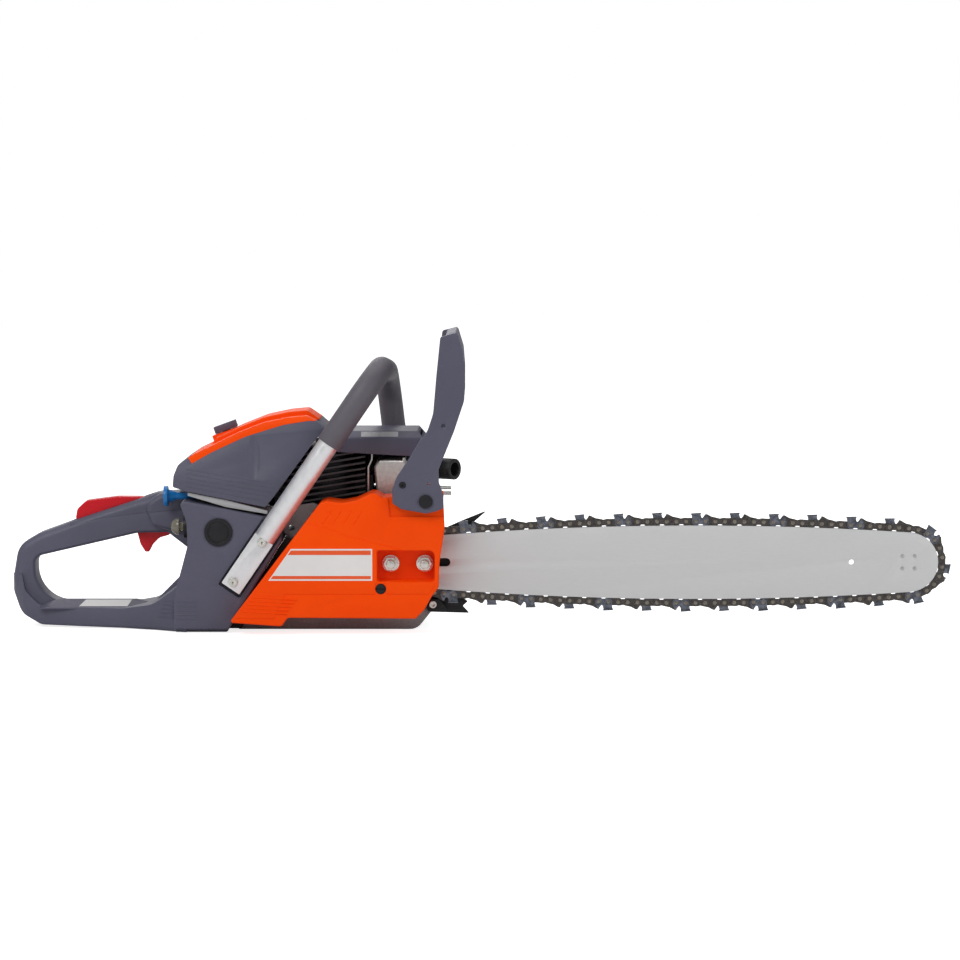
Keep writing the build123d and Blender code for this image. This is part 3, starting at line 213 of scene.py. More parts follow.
# moulded grain over a slight waviness, as a normal
grainLook = {"waveScale": 14.0, "waveShare": 2.5, "height": 0.0004}


def makeGrain():
    group, gin, gout = newGroup(
        "mouldGrain",
        [("Scale", "NodeSocketFloat", 900.0), ("Depth", "NodeSocketFloat", 0.15)],
        [("Normal", "NodeSocketVector")])
    place = group.nodes.new("ShaderNodeTexCoord").outputs["Object"]
    coarse = noiseNode(group, place, gin.outputs["Scale"], 2.0, 0.5)
    wave = noiseNode(group, place, grainLook["waveScale"], 2.0, 0.5)
    height = mathNode(group, "MULTIPLY_ADD", wave, grainLook["waveShare"], coarse)
    bump = group.nodes.new("ShaderNodeBump")
    bump.inputs["Distance"].default_value = grainLook["height"]
    group.links.new(gin.outputs["Depth"], bump.inputs["Strength"])
    group.links.new(height, bump.inputs["Height"])
    group.links.new(bump.outputs["Normal"], gout.inputs["Normal"])
    return group


# fine parallel lines along one direction, given as a stretch of the coordinates
brushHeight = 0.0002


def makeBrushing():
    group, gin, gout = newGroup(
        "brushing",
        [("Stretch", "NodeSocketVector", (1, 1, 1)), ("Scale", "NodeSocketFloat", 400.0),
         ("Depth", "NodeSocketFloat", 0.1)],
        [("Lines", "NodeSocketFloat"), ("Normal", "NodeSocketVector")])
    place = group.nodes.new("ShaderNodeTexCoord").outputs["Object"]
    mapping = group.nodes.new("ShaderNodeMapping")
    group.links.new(place, mapping.inputs["Vector"])
    group.links.new(gin.outputs["Stretch"], mapping.inputs["Scale"])
    lines = noiseNode(group, mapping.outputs["Vector"], gin.outputs["Scale"], 4.0, 0.65)
    bump = group.nodes.new("ShaderNodeBump")
    bump.inputs["Distance"].default_value = brushHeight
    group.links.new(gin.outputs["Depth"], bump.inputs["Strength"])
    group.links.new(lines, bump.inputs["Height"])
    group.links.new(spread(group, lines, 0.3, 0.7), gout.inputs["Lines"])
    group.links.new(bump.outputs["Normal"], gout.inputs["Normal"])
    return group


# sparse thin scratches inside rubbed spots, 0 where there are none
rubLook = {"stretch": (1.0, 1.0, 9.0), "turn": (0.3, 0.9, 0.2), "thin": (0.62, 0.72), "spots": (0.5, 0.62)}


def makeRubMarks():
    group, gin, gout = newGroup(
        "rubMarks",
        [("Scale", "NodeSocketFloat", 30.0), ("Amount", "NodeSocketFloat", 0.3)],
        [("Marks", "NodeSocketFloat")])
    place = group.nodes.new("ShaderNodeTexCoord").outputs["Object"]
    stretched = group.nodes.new("ShaderNodeMapping")
    stretched.inputs["Scale"].default_value = rubLook["stretch"]
    stretched.inputs["Rotation"].default_value = rubLook["turn"]
    group.links.new(place, stretched.inputs["Vector"])
    thin = noiseNode(group, stretched.outputs["Vector"], gin.outputs["Scale"], 6.0, 0.7)
    spots = noiseNode(group, place, gin.outputs["Scale"], 3.0, 0.6)
    thin = spread(group, thin, *rubLook["thin"])
    spots = spread(group, spots, *rubLook["spots"])
    marks = mathNode(group, "MULTIPLY", thin, spots)
    group.links.new(mathNode(group, "MULTIPLY", marks, gin.outputs["Amount"]), gout.inputs["Marks"])
    return group


clouding = makeClouding()
mouldGrain = makeGrain()
brushing = makeBrushing()
rubMarks = makeRubMarks()


def useGroup(tree, group, **values):
    node = tree.nodes.new("ShaderNodeGroup")
    node.node_tree = group
    for label, value in values.items():
        node.inputs[label.replace("_", " ")].default_value = value
    return node


def mixColour(tree, factor, a, b):
    node = tree.nodes.new("ShaderNodeMix")
    node.data_type = "RGBA"
    tree.links.new(factor, node.inputs["Factor"])
    for label, value in (("A", a), ("B", b)):
        socket = next(s for s in node.inputs if s.name == label and s.type == "RGBA")
        if isinstance(value, tuple):
            socket.default_value = (*value, 1)
        else:
            tree.links.new(value, socket)
    return next(s for s in node.outputs if s.type == "RGBA")


def newFinish(name):
    mat = bpy.data.materials.new(name)
    mat.use_nodes = True
    tree = mat.node_tree
    return mat, tree, tree.nodes["Principled BSDF"]


# moulded plastic: uneven tone, grain, and rubbed marks that are paler and rougher
plasticLook = {"broad": 12.0, "fine": 220.0, "rub": 38.0, "glossSpan": 0.09, "rubbedGloss": 0.3,
               "wornGain": 1.35, "wornLift": 0.03}


def plastic(name, colour, shade, rough, grain=900.0, depth=0.15, wear=0.25, specular=0.5, clear=0.0):
    look = plasticLook
    mat, tree, skin = newFinish(name)
    cloud = useGroup(tree, clouding, Broad_Scale=look["broad"], Fine_Scale=look["fine"])
    rub = useGroup(tree, rubMarks, Scale=look["rub"], Amount=wear)
    bump = useGroup(tree, mouldGrain, Scale=grain, Depth=depth)
    base = mixColour(tree, cloud.outputs["Broad"], shade, colour)
    worn = tuple(min(1.0, c * look["wornGain"] + look["wornLift"]) for c in colour)
    base = mixColour(tree, rub.outputs["Marks"], base, worn)
    tree.links.new(base, skin.inputs["Base Color"])
    lowest = rough - look["glossSpan"] / 2
    gloss = mathNode(tree, "MULTIPLY_ADD", cloud.outputs["Fine"], look["glossSpan"], lowest)
    gloss = mathNode(tree, "MULTIPLY_ADD", rub.outputs["Marks"], look["rubbedGloss"], gloss)
    tree.links.new(gloss, skin.inputs["Roughness"])
    tree.links.new(bump.outputs["Normal"], skin.inputs["Normal"])
    skin.inputs["Specular IOR Level"].default_value = specular
    skin.inputs["Transmission Weight"].default_value = clear
    return mat


# machined, brushed or cast metal: directional lines, uneven polish and thin grime
metalLook = {"broad": 16.0, "fine": 300.0, "rub": 55.0, "cloudGloss": 0.12, "lineGloss": 0.08}
darkGrime = (0.05, 0.045, 0.04)


def metal(name, colour, shade, rough, stretch=(1, 1, 1), lines=300.0, depth=0.1, wear=0.3,
          grime=darkGrime, metallic=1.0):
    look = metalLook
    mat, tree, skin = newFinish(name)
    cloud = useGroup(tree, clouding, Broad_Scale=look["broad"], Fine_Scale=look["fine"])
    rub = useGroup(tree, rubMarks, Scale=look["rub"], Amount=wear)
    brush = useGroup(tree, brushing, Stretch=stretch, Scale=lines, Depth=depth)
    base = mixColour(tree, brush.outputs["Lines"], shade, colour)
    base = mixColour(tree, rub.outputs["Marks"], base, grime)
    tree.links.new(base, skin.inputs["Base Color"])
    skin.inputs["Metallic"].default_value = metallic
    lowest = rough - look["lineGloss"]
    gloss = mathNode(tree, "MULTIPLY_ADD", cloud.outputs["Broad"], look["cloudGloss"], lowest)
    gloss = mathNode(tree, "MULTIPLY_ADD", brush.outputs["Lines"], look["lineGloss"], gloss)
    tree.links.new(gloss, skin.inputs["Roughness"])
    tree.links.new(brush.outputs["Normal"], skin.inputs["Normal"])
    return mat


# one finish for each material slot: its colour, the colour of its darker patches, its roughness
finishes = {
    "grey_plastic": plastic("greyNylon", (0.096, 0.094, 0.140), (0.084, 0.082, 0.122), 0.46,
                            depth=0.22, specular=0.42),
    "orange_plastic": plastic("orangeShell", (1.0, 0.080, 0.0), (0.97, 0.068, 0.0), 0.42,
                              depth=0.05, wear=0.04, specular=0.10),
    "red_plastic": plastic("redLever", (0.66, 0.004, 0.014), (0.60, 0.003, 0.011), 0.34,
                           depth=0.04, wear=0.05, specular=0.3),
    "blue_plastic": plastic("blueKnob", (0.012, 0.20, 0.56), (0.010, 0.16, 0.46), 0.33,
                            depth=0.08, wear=0.15),
    "black_plastic": plastic("blackNylon", (0.014, 0.014, 0.017), (0.009, 0.009, 0.011), 0.40,
                             depth=0.2, specular=0.3),
    "pale_plastic": plastic("paleNylon", (0.50, 0.50, 0.51), (0.42, 0.42, 0.43), 0.45),
    "clear_bulb": plastic("bulbSkin", (0.50, 0.46, 0.36), (0.38, 0.35, 0.27), 0.14,
                          depth=0.03, wear=0.05, clear=0.55),
    "filter_fleece": plastic("filterFleece", (0.80, 0.78, 0.70), (0.66, 0.63, 0.54), 0.85,
                             grain=500.0, depth=0.8, wear=0.1),
    "rubber_black": plastic("rubberBlack", (0.018, 0.018, 0.018), (0.012, 0.012, 0.012), 0.62,
                            grain=600.0, depth=0.3, wear=0.2),
    "grip_foam": plastic("gripSleeve", (0.118, 0.108, 0.130), (0.094, 0.085, 0.104), 0.52,
                         grain=1400.0, depth=0.3, wear=0.15),
    "rope": plastic("braidedRope", (0.80, 0.78, 0.72), (0.55, 0.53, 0.48), 0.8,
                    grain=1500.0, depth=0.9, wear=0.1),
    "cast_metal": metal("castCase", (0.36, 0.36, 0.37), (0.27, 0.27, 0.28), 0.55,
                        lines=700.0, depth=0.5, wear=0.35, metallic=0.75),
    "cast_fins": metal("darkFins", (0.085, 0.085, 0.09), (0.05, 0.05, 0.055), 0.52,
                       lines=600.0, depth=0.5, wear=0.2, metallic=0.5),
    "tube_metal": metal("brushedTube", (0.86, 0.87, 0.89), (0.80, 0.81, 0.83), 0.40, stretch=(3, 1, 2),
                        lines=60.0, depth=0.03, wear=0.02, metallic=0.8),
    "machined_steel": metal("machinedSteel", (0.62, 0.62, 0.63), (0.48, 0.48, 0.50), 0.32,
                            stretch=(1, 12, 1), lines=200.0, depth=0.15),
    "carb_metal": metal("dieCast", (0.60, 0.60, 0.58), (0.50, 0.50, 0.48), 0.45,
                        lines=800.0, depth=0.3, metallic=0.85),
    "bar_steel": metal("groundBar", (0.66, 0.66, 0.665), (0.63, 0.63, 0.635), 0.50, stretch=(1, 1, 16),
                       lines=150.0, depth=0.05, wear=0.05, metallic=0.35),
    "chain_steel": metal("oiledChain", (0.125, 0.115, 0.11), (0.06, 0.055, 0.052), 0.40,
                         lines=500.0, depth=0.3, wear=0.5, metallic=0.85),
    "cutter_chrome": metal("cutterChrome", (0.20, 0.21, 0.25), (0.10, 0.11, 0.135), 0.24, depth=0.15),
    "rivet_steel": metal("rivetSteel", (0.30, 0.27, 0.23), (0.20, 0.175, 0.145), 0.34,
                         lines=500.0, depth=0.2),
    "muffler_steel": metal("pressedSheet", (0.66, 0.65, 0.63), (0.52, 0.51, 0.49), 0.34,
                           lines=260.0, depth=0.25, wear=0.35, grime=(0.12, 0.09, 0.06)),
    "zinc": metal("zincPlate", (0.80, 0.79, 0.74), (0.66, 0.65, 0.60), 0.24,
                  lines=420.0, depth=0.2, wear=0.2),
    "black_steel": metal("blackedSteel", (0.030, 0.030, 0.032), (0.018, 0.018, 0.02), 0.42,
                         lines=500.0, depth=0.35, wear=0.25, grime=(0.12, 0.11, 0.1), metallic=0.6),
    "brake_steel": metal("springSteel", (0.35, 0.34, 0.33), (0.26, 0.25, 0.25), 0.35,
                         stretch=(1, 10, 1), lines=260.0, depth=0.15),
}
print("finishes made", len(finishes))


# carried-over pieces: merged, dissolved to clean faces, edges rounded, and shaded smooth
def makeSoftShade():
    tree = bpy.data.node_groups.new("softShade", "GeometryNodeTree")
    tree.interface.new_socket("Geometry", in_out="INPUT", socket_type="NodeSocketGeometry")
    limit = tree.interface.new_socket("Angle", in_out="INPUT", socket_type="NodeSocketFloat")
    limit.default_value = 0.6
    tree.interface.new_socket("Geometry", in_out="OUTPUT", socket_type="NodeSocketGeometry")
    gin, gout = tree.nodes.new("NodeGroupInput"), tree.nodes.new("NodeGroupOutput")
    angle = tree.nodes.new("GeometryNodeInputMeshEdgeAngle")
    below = tree.nodes.new("FunctionNodeCompare")
    below.operation = "LESS_THAN"
    tree.links.new(angle.outputs["Unsigned Angle"], below.inputs[0])
    tree.links.new(gin.outputs["Angle"], below.inputs[1])
    faces = tree.nodes.new("GeometryNodeSetShadeSmooth")
    faces.domain = "FACE"
    edges = tree.nodes.new("GeometryNodeSetShadeSmooth")
    edges.domain = "EDGE"
    tree.links.new(gin.outputs["Geometry"], faces.inputs["Geometry"])
    tree.links.new(faces.outputs["Geometry"], edges.inputs["Geometry"])
    tree.links.new(below.outputs["Result"], edges.inputs["Shade Smooth"])
    tree.links.new(edges.outputs["Geometry"], gout.inputs["Geometry"])
    return tree


softShade = makeSoftShade()

# how far each carried-over piece's sharp edges are rounded, in mm
edgeRounding = {
    "default": 0.3,
    "rear_handle_tank": 1.2, "handle_grip_cover": 1.0, "front_handle_tube": 0.5, "front_handle_sleeve": 0.6,
    "top_cover": 1.2, "top_cover_trim": 1.2, "cover_knob": 1.0, "clutch_cover": 1.0, "hand_guard": 1.2,
    "starter_housing": 1.2, "cylinder_shroud": 0.8, "crankcase": 1.0, "cylinder": 0.4, "muffler_body": 0.8,
    "throttle_trigger": 1.2, "throttle_lockout": 0.8, "bar_side_plates": 0.2,
    "chain_drive_links": 0, "chain_tie_straps": 0, "chain_cutters": 0.12,
}
cleaning = {
    "mergeWithin": 0.00002,
    "flatWithin": radians(0.6),
    "sharpFrom": radians(34),
    "bevelRows": 2,
    "keepTriangles": ("starter_housing", "rear_handle_tank"),  # faces with holes, left undissolved
}


def finishNode(name):
    obj = nodes[name]
    slotName = next(s["material_slot"] for s in frame["record"]["subparts"] if s["node"] == name)
    obj.data.materials.clear()
    obj.data.materials.append(finishes[slotName])
    weld = obj.modifiers.new("merge", "WELD")
    weld.merge_threshold = cleaning["mergeWithin"]
    width = edgeRounding.get(name, edgeRounding["default"])
    if width:
        if name not in cleaning["keepTriangles"]:
            flat = obj.modifiers.new("cleanFaces", "DECIMATE")
            flat.decimate_type = "DISSOLVE"
            flat.angle_limit = cleaning["flatWithin"]
        bevel = obj.modifiers.new("roundEdges", "BEVEL")
        bevel.width = width * mm
        bevel.segments = cleaning["bevelRows"]
        bevel.limit_method = "ANGLE"
        bevel.angle_limit = cleaning["sharpFrom"]
        bevel.use_clamp_overlap = True
        bevel.miter_outer = "MITER_ARC"
    soft = obj.modifiers.new("softShade", "NODES")
    soft.node_group = softShade


for nodeName in nodes:
    finishNode(nodeName)
print("carried-over pieces finished")


# where a line across the saw first meets a piece, and which way the surface faces there
nearSide, farSide = -1, 1
wellOutside = 0.3
surfaces = {}


def keepSurface(name, mesh):
    places = [v.co for v in mesh.vertices]
    surfaces[name] = BVHTree.FromPolygons(places, [p.vertices for p in mesh.polygons])


def meet(name, x, z, side):
    if name not in surfaces:
        keepSurface(name, nodes[name].data)
    inwards = Vector((0, -side, 0))
    outside = Vector((x * mm, wellOutside * side, z * mm))
    place, facing, _, _ = surfaces[name].ray_cast(outside, inwards)
    if place is None:
        return None, None
    if facing.dot(inwards) > 0:
        facing = -facing
    return place, facing


def newNodeTree(name, inputs):
    tree = bpy.data.node_groups.new(name, "GeometryNodeTree")
    tree.interface.new_socket("Geometry", in_out="INPUT", socket_type="NodeSocketGeometry")
    for label, kind, value in inputs:
        socket = tree.interface.new_socket(label, in_out="INPUT", socket_type=kind)
        if value is not None:
            socket.default_value = value
    tree.interface.new_socket("Geometry", in_out="OUTPUT", socket_type="NodeSocketGeometry")
    return tree, tree.nodes.new("NodeGroupInput"), tree.nodes.new("NodeGroupOutput")


def endTree(tree, gin, gout, shape):
    real = tree.nodes.new("GeometryNodeRealizeInstances")
    paint = tree.nodes.new("GeometryNodeSetMaterial")
    tree.links.new(shape, real.inputs["Geometry"])
    tree.links.new(real.outputs["Geometry"], paint.inputs["Geometry"])
    tree.links.new(gin.outputs["Finish"], paint.inputs["Material"])
    tree.links.new(paint.outputs["Geometry"], gout.inputs["Geometry"])
    return tree


# round ribs swept along the lines of a mesh
def makeRibTree():
    tree, gin, gout = newNodeTree("ribRun", [
        ("Width", "NodeSocketFloat", 0.001), ("Sides", "NodeSocketInt", 10),
        ("Finish", "NodeSocketMaterial", None)])
    line = tree.nodes.new("GeometryNodeMeshToCurve")
    ring = tree.nodes.new("GeometryNodeCurvePrimitiveCircle")
    half = mathNode(tree, "MULTIPLY", gin.outputs["Width"], 0.5)
    sweep = tree.nodes.new("GeometryNodeCurveToMesh")
    sweep.inputs["Fill Caps"].default_value = True
    tree.links.new(gin.outputs["Geometry"], line.inputs["Mesh"])
    tree.links.new(half, ring.inputs["Radius"])
    tree.links.new(gin.outputs["Sides"], ring.inputs["Resolution"])
    tree.links.new(line.outputs["Curve"], sweep.inputs["Curve"])
    tree.links.new(ring.outputs["Curve"], sweep.inputs["Profile Curve"])
    return endTree(tree, gin, gout, sweep.outputs["Mesh"])


# cross-slotted screw heads standing on points, each along the point's own direction
def makeScrewTree():
    tree, gin, gout = newNodeTree("screwHeads", [
        ("Head Radius", "NodeSocketFloat", 0.004), ("Head Height", "NodeSocketFloat", 0.002),
        ("Slot Width", "NodeSocketFloat", 0.001), ("Top Share", "NodeSocketFloat", 0.78),
        ("Sides", "NodeSocketInt", 28), ("Finish", "NodeSocketMaterial", None)])
    head = tree.nodes.new("GeometryNodeMeshCone")
    tree.links.new(gin.outputs["Sides"], head.inputs["Vertices"])
    top = mathNode(tree, "MULTIPLY", gin.outputs["Head Radius"], gin.outputs["Top Share"])
    tree.links.new(top, head.inputs["Radius Top"])
    tree.links.new(gin.outputs["Head Radius"], head.inputs["Radius Bottom"])
    tree.links.new(gin.outputs["Head Height"], head.inputs["Depth"])
    cut = tree.nodes.new("GeometryNodeMeshBoolean")
    cut.operation = "DIFFERENCE"
    tree.links.new(head.outputs["Mesh"], cut.inputs[0])
    for turn in (0.0, pi / 2):
        size = tree.nodes.new("ShaderNodeCombineXYZ")
        tree.links.new(gin.outputs["Head Radius"], size.inputs["X"])
        tree.links.new(gin.outputs["Slot Width"], size.inputs["Y"])
        tree.links.new(gin.outputs["Head Height"], size.inputs["Z"])
        bar = tree.nodes.new("GeometryNodeMeshCube")
        tree.links.new(size.outputs["Vector"], bar.inputs["Size"])
        lift = tree.nodes.new("ShaderNodeCombineXYZ")
        tree.links.new(gin.outputs["Head Height"], lift.inputs["Z"])
        move = tree.nodes.new("GeometryNodeTransform")
        move.inputs["Rotation"].default_value = (0, 0, turn)
        tree.links.new(bar.outputs["Mesh"], move.inputs["Geometry"])
        tree.links.new(lift.outputs["Vector"], move.inputs["Translation"])
        tree.links.new(move.outputs["Geometry"], cut.inputs[1])
    aim = tree.nodes.new("GeometryNodeInputNamedAttribute")
    aim.data_type = "FLOAT_VECTOR"
    aim.inputs["Name"].default_value = "aim"
    turnTo = tree.nodes.new("FunctionNodeAlignRotationToVector")
    turnTo.axis = "Z"
    tree.links.new(aim.outputs["Attribute"], turnTo.inputs["Vector"])
    spots = tree.nodes.new("GeometryNodeMeshToPoints")
    place = tree.nodes.new("GeometryNodeInstanceOnPoints")
    tree.links.new(gin.outputs["Geometry"], spots.inputs["Mesh"])
    tree.links.new(spots.outputs["Points"], place.inputs["Points"])
    tree.links.new(cut.outputs["Mesh"], place.inputs["Instance"])
    tree.links.new(turnTo.outputs["Rotation"], place.inputs["Rotation"])
    return endTree(tree, gin, gout, place.outputs["Instances"])


ribRun = makeRibTree()
screwHeads = makeScrewTree()


# a shape as a plain mesh, once its modifiers have done their work
def bakedMesh(obj):
    mesh = bpy.data.meshes.new_from_object(obj.evaluated_get(bpy.context.evaluated_depsgraph_get()))
    mesh.validate()  # drops the doubled edges that a cut can leave
    return mesh


def addPiece(name, mesh, body, finish=None):
    piece = bpy.data.objects.new(name, mesh)
    scene.collection.objects.link(piece)
    if finish:
        mesh.materials.clear()
        mesh.materials.append(finish)
    soft = piece.modifiers.new("softShade", "NODES")
    soft.node_group = softShade
    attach(piece, body)


# runs a tree over a guide mesh and keeps the result as a plain piece
def growPiece(name, guide, tree, inputs, body):
    carrier = bpy.data.objects.new(name + "Guide", guide)
    scene.collection.objects.link(carrier)
    grower = carrier.modifiers.new("grow", "NODES")
    grower.node_group = tree
    for item in tree.interface.items_tree:
        if item.in_out == "INPUT" and item.name in inputs:
            grower[item.identifier] = inputs[item.name]
    mesh = bakedMesh(carrier)
    bpy.data.objects.remove(carrier)
    addPiece(name, mesh, body)


# ribs along lines given in mm as x and z, laid on a piece's near or far side
def layRibs(name, node, lines, width, proud, slotName, side=nearSide, step=3.0):
    points, edges = [], []
    for (x0, z0), (x1, z1) in lines:
        count = max(2, int(((x1 - x0) ** 2 + (z1 - z0) ** 2) ** 0.5 / step))
        last = None
        for i in range(count + 1):
            share = i / count
            place, facing = meet(node, x0 + (x1 - x0) * share, z0 + (z1 - z0) * share, side)
            if place is None:
                last = None
                continue
            points.append(place + facing * (proud - width / 2) * mm)
            if last is not None:
                edges.append((last, len(points) - 1))
            last = len(points) - 1
    guide = bpy.data.meshes.new(name)
    guide.from_pydata(points, edges, [])
    growPiece(name, guide, ribRun, {"Width": width * mm, "Finish": finishes[slotName]}, "frame")


# screw heads at places given in mm as x and z on a piece's near or far side
screwSeat = {"sunk": 0.1, "slotShare": 0.26}


def setScrews(name, node, places, radius, height, slotName, side=nearSide, body="frame"):
    points, aims = [], []
    for x, z in places:
        place, facing = meet(node, x, z, side)
        if place is not None:
            points.append(place - facing * screwSeat["sunk"] * mm)
            aims.append(facing)
    guide = bpy.data.meshes.new(name)
    guide.from_pydata(points, [], [])
    aim = guide.attributes.new("aim", "FLOAT_VECTOR", "POINT")
    aim.data.foreach_set("vector", [v for facing in aims for v in facing])
    sizes = {
        "Head Radius": radius * mm,
        "Head Height": height * mm,
        "Slot Width": radius * screwSeat["slotShare"] * mm,
        "Finish": finishes[slotName],
    }
    growPiece(name, guide, screwHeads, sizes, body)


# turns a closed shape's faces outwards and keeps it as a mesh
def keepShape(shape, mesh):
    bmesh.ops.recalc_face_normals(shape, faces=shape.faces)
    shape.to_mesh(mesh)
    shape.free()
    return mesh


# a slab on an outline given as x and z in mm, from one y to another
def slabShape(corners, y0, y1):
    shape = bmesh.new()
    ring = [shape.verts.new((x * mm, y0 * mm, z * mm)) for x, z in corners]
    grown = bmesh.ops.extrude_face_region(shape, geom=[shape.faces.new(ring)])
    moved = [v for v in grown["geom"] if isinstance(v, bmesh.types.BMVert)]
    bmesh.ops.translate(shape, verts=moved, vec=(0, (y1 - y0) * mm, 0))
    return shape


# the clutch cover's lower field, a little proud of the rest, open over the nuts and the tensioner
coverField = {
    "corners": [(-237, 16.5), (-166, 109.2), (-137.5, 101.6), (-134.5, 98.9), (-65.7, 81.4), (-44.5, 76),
                (-42.9, 48.6), (-49, 40.4), (-189, 40.4), (-199, 16.5)],
    "openings": [((-99.4, 52.1), (-20, 83.9)), ((-100.9, 40.0), (-89.5, 51.2))],
    "front": -98.75,
    "back": -97.6,
    "cutFrom": -95.0,
    "cutTo": -101.0,
    "rounding": 0.45,
}


def cutOpening(field, low, high):
    (x0, z0), (x1, z1) = low, high
    corners = [(x0, z0), (x1, z0), (x1, z1), (x0, z1)]
    shape = slabShape(corners, coverField["cutFrom"], coverField["cutTo"])
    mesh = keepShape(shape, bpy.data.meshes.new("fieldOpening"))
    cutter = bpy.data.objects.new("fieldOpening", mesh)
    scene.collection.objects.link(cutter)
    away = field.modifiers.new("opening", "BOOLEAN")
    away.operation = "DIFFERENCE"
    away.object = cutter
    opened = bakedMesh(field)
    field.modifiers.clear()
    field.data = opened
    bpy.data.objects.remove(cutter)


def raiseField(name, slotName):
    front = coverField["front"] * mm
    shape = slabShape(coverField["corners"], coverField["back"], coverField["front"])
    rim = [e for e in shape.edges if all(abs(v.co.y - front) < 1e-7 for v in e.verts)]
    bmesh.ops.bevel(shape, geom=rim, offset=coverField["rounding"] * mm, segments=3, profile=0.5,
                    affect="EDGES")
    field = bpy.data.objects.new(name, keepShape(shape, bpy.data.meshes.new(name)))
    scene.collection.objects.link(field)
    for low, high in coverField["openings"]:
        cutOpening(field, low, high)
    mesh = field.data
    bpy.data.objects.remove(field)
    addPiece(name, mesh, "frame", finishes[slotName])


raiseField("clutchCoverField", "orange_plastic")
print("cover field raised")


# a black rubber-finished sheet that closes the gap between the rear housing and the engine; painted shade,
# it stands for the shade in that gap
gapShadeSheet = {
    "corners": [(-245.9, 2.0), (-234.0, 2.0), (-180.0, 90.5), (-191.8, 90.5)],
    "nearEnd": -57,
    "farEnd": 38,
    "rounding": 0.4,
}


def makeGapShadeSheet(name, slotName):
    shape = slabShape(gapShadeSheet["corners"], gapShadeSheet["nearEnd"], gapShadeSheet["farEnd"])
    bmesh.ops.bevel(shape, geom=shape.edges[:], offset=gapShadeSheet["rounding"] * mm, segments=2, profile=0.5,
                    affect="EDGES")
    mesh = keepShape(shape, bpy.data.meshes.new(name))
    addPiece(name, mesh, "frame", finishes[slotName])


# painted shade: a black sheet set in the shaded gap between housing and engine
makeGapShadeSheet("gapShadeSheet", "rubber_black")
print("gap shade sheet made")


# the foot's sloping upper side, whose section in y and z runs out flat at both ends
footSlope = {
    "section": [(-17.2, 27.2), (-16.0, 24.0), (-16.0, 18.5), (-36.2, 18.5), (-36.4, 19.9), (-34.0, 20.9)],
    "level": 20.0,
    "from": -436.0,
    "to": -322.0,
    "taper": 18.0,
    "endHeight": 0.25,
}


def makeFootSlope(name, slotName):
    start, end, taper, low = (footSlope[key] for key in ("from", "to", "taper", "endHeight"))
    level = footSlope["level"]
    shape = bmesh.new()
    rings = []
    for x, height in ((start, low), (start + taper, 1.0), (end - taper, 1.0), (end, low)):
        ring = []
        for y, z in footSlope["section"]:
            above = (z - level) * (height if z > level else 1)
            ring.append(shape.verts.new((x * mm, y * mm, (level + above) * mm)))
        rings.append(ring)
    size = len(footSlope["section"])
    for one, two in zip(rings, rings[1:]):
        for i in range(size):
            shape.faces.new((one[i], one[(i + 1) % size], two[(i + 1) % size], two[i]))
    shape.faces.new(rings[0])
    shape.faces.new(rings[-1])
    mesh = keepShape(shape, bpy.data.meshes.new(name))
    keepSurface(name, mesh)
    addPiece(name, mesh, "frame", finishes[slotName])


makeFootSlope("footSlope", "grey_plastic")
print("foot slope made")


# stickers: plain fields without words, four corners each, x and z in mm, going round from the upper left
sticker = {
    "coverLabel": [(-182.6, 84.9), (-103.4, 84.9), (-103.4, 53.8), (-204.6, 53.8)],
    "coverLift": 0.80,
    "stripeLift": 0.88,
    "stripes": ((0.05, 0.19), (0.85, 0.95)),
    "stripeInset": (1.2, -1.4, -1.4, 1.2),
    "footPlate": [(-391.5, 26.3), (-345.5, 26.3), (-349.0, 21.2), (-397.0, 21.2)],
    "shroudPlate": [(-116.0, 195.0), (-79.5, 195.0), (-79.5, 190.6), (-116.0, 190.6)],
    "plateLift": 0.12,
    "sunk": 0.3,
    "across": 14,
    "down": 6,
}
paperWhite = plastic("stickerWhite", (0.80, 0.79, 0.78), (0.74, 0.73, 0.72), 0.34, depth=0.03, wear=0.08)
stripeOrange = plastic("stickerOrange", (0.86, 0.10, 0.012), (0.78, 0.085, 0.01), 0.34,
                       depth=0.03, wear=0.08)
stickerSilver = plastic("stickerSilver", (0.42, 0.42, 0.44), (0.34, 0.34, 0.36), 0.3, depth=0.03, wear=0.2)


# a thin closed sheet between four corners, bent to the surface under it
def laySticker(name, node, corners, lift, finish):
    across, down = sticker["across"], sticker["down"]
    a, b, c, d = (Vector(corner) for corner in corners)
    grid, quads = [], []
    for layer in (lift, -sticker["sunk"]):
        for j in range(down + 1):
            for i in range(across + 1):
                u, v = i / across, j / down
                x, z = a.lerp(b, u).lerp(d.lerp(c, u), v)
                place, facing = meet(node, x, z, nearSide)
                grid.append(place + facing * layer * mm)
    row, size = across + 1, (across + 1) * (down + 1)
    for j in range(down):
        for i in range(across):
            k = j * row + i
            quads.append((k, k + 1, k + row + 1, k + row))
            quads.append((k + size, k + size + row, k + size + row + 1, k + size + 1))
    rim = list(range(row)) + [j * row + across for j in range(1, down + 1)]
    rim += [down * row + i for i in range(across - 1, -1, -1)] + [j * row for j in range(down - 1, 0, -1)]
    for p, q in zip(rim, rim[1:] + rim[:1]):
        quads.append((q, p, p + size, q + size))
    mesh = bpy.data.meshes.new(name)
    mesh.from_pydata(grid, [], quads)
    shape = bmesh.new()
    shape.from_mesh(mesh)
    addPiece(name, keepShape(shape, mesh), "frame", finish)


def layStripes():
    a, b, c, d = (Vector(corner) for corner in sticker["coverLabel"])
    for number, (start, end) in enumerate(sticker["stripes"], 1):
        corners = [a.lerp(d, start), b.lerp(c, start), b.lerp(c, end), a.lerp(d, end)]
        corners = [corner + Vector((inset, 0)) for corner, inset in zip(corners, sticker["stripeInset"])]
        laySticker("labelStripe%d" % number, "clutch_cover", corners, sticker["stripeLift"],
                   stripeOrange)


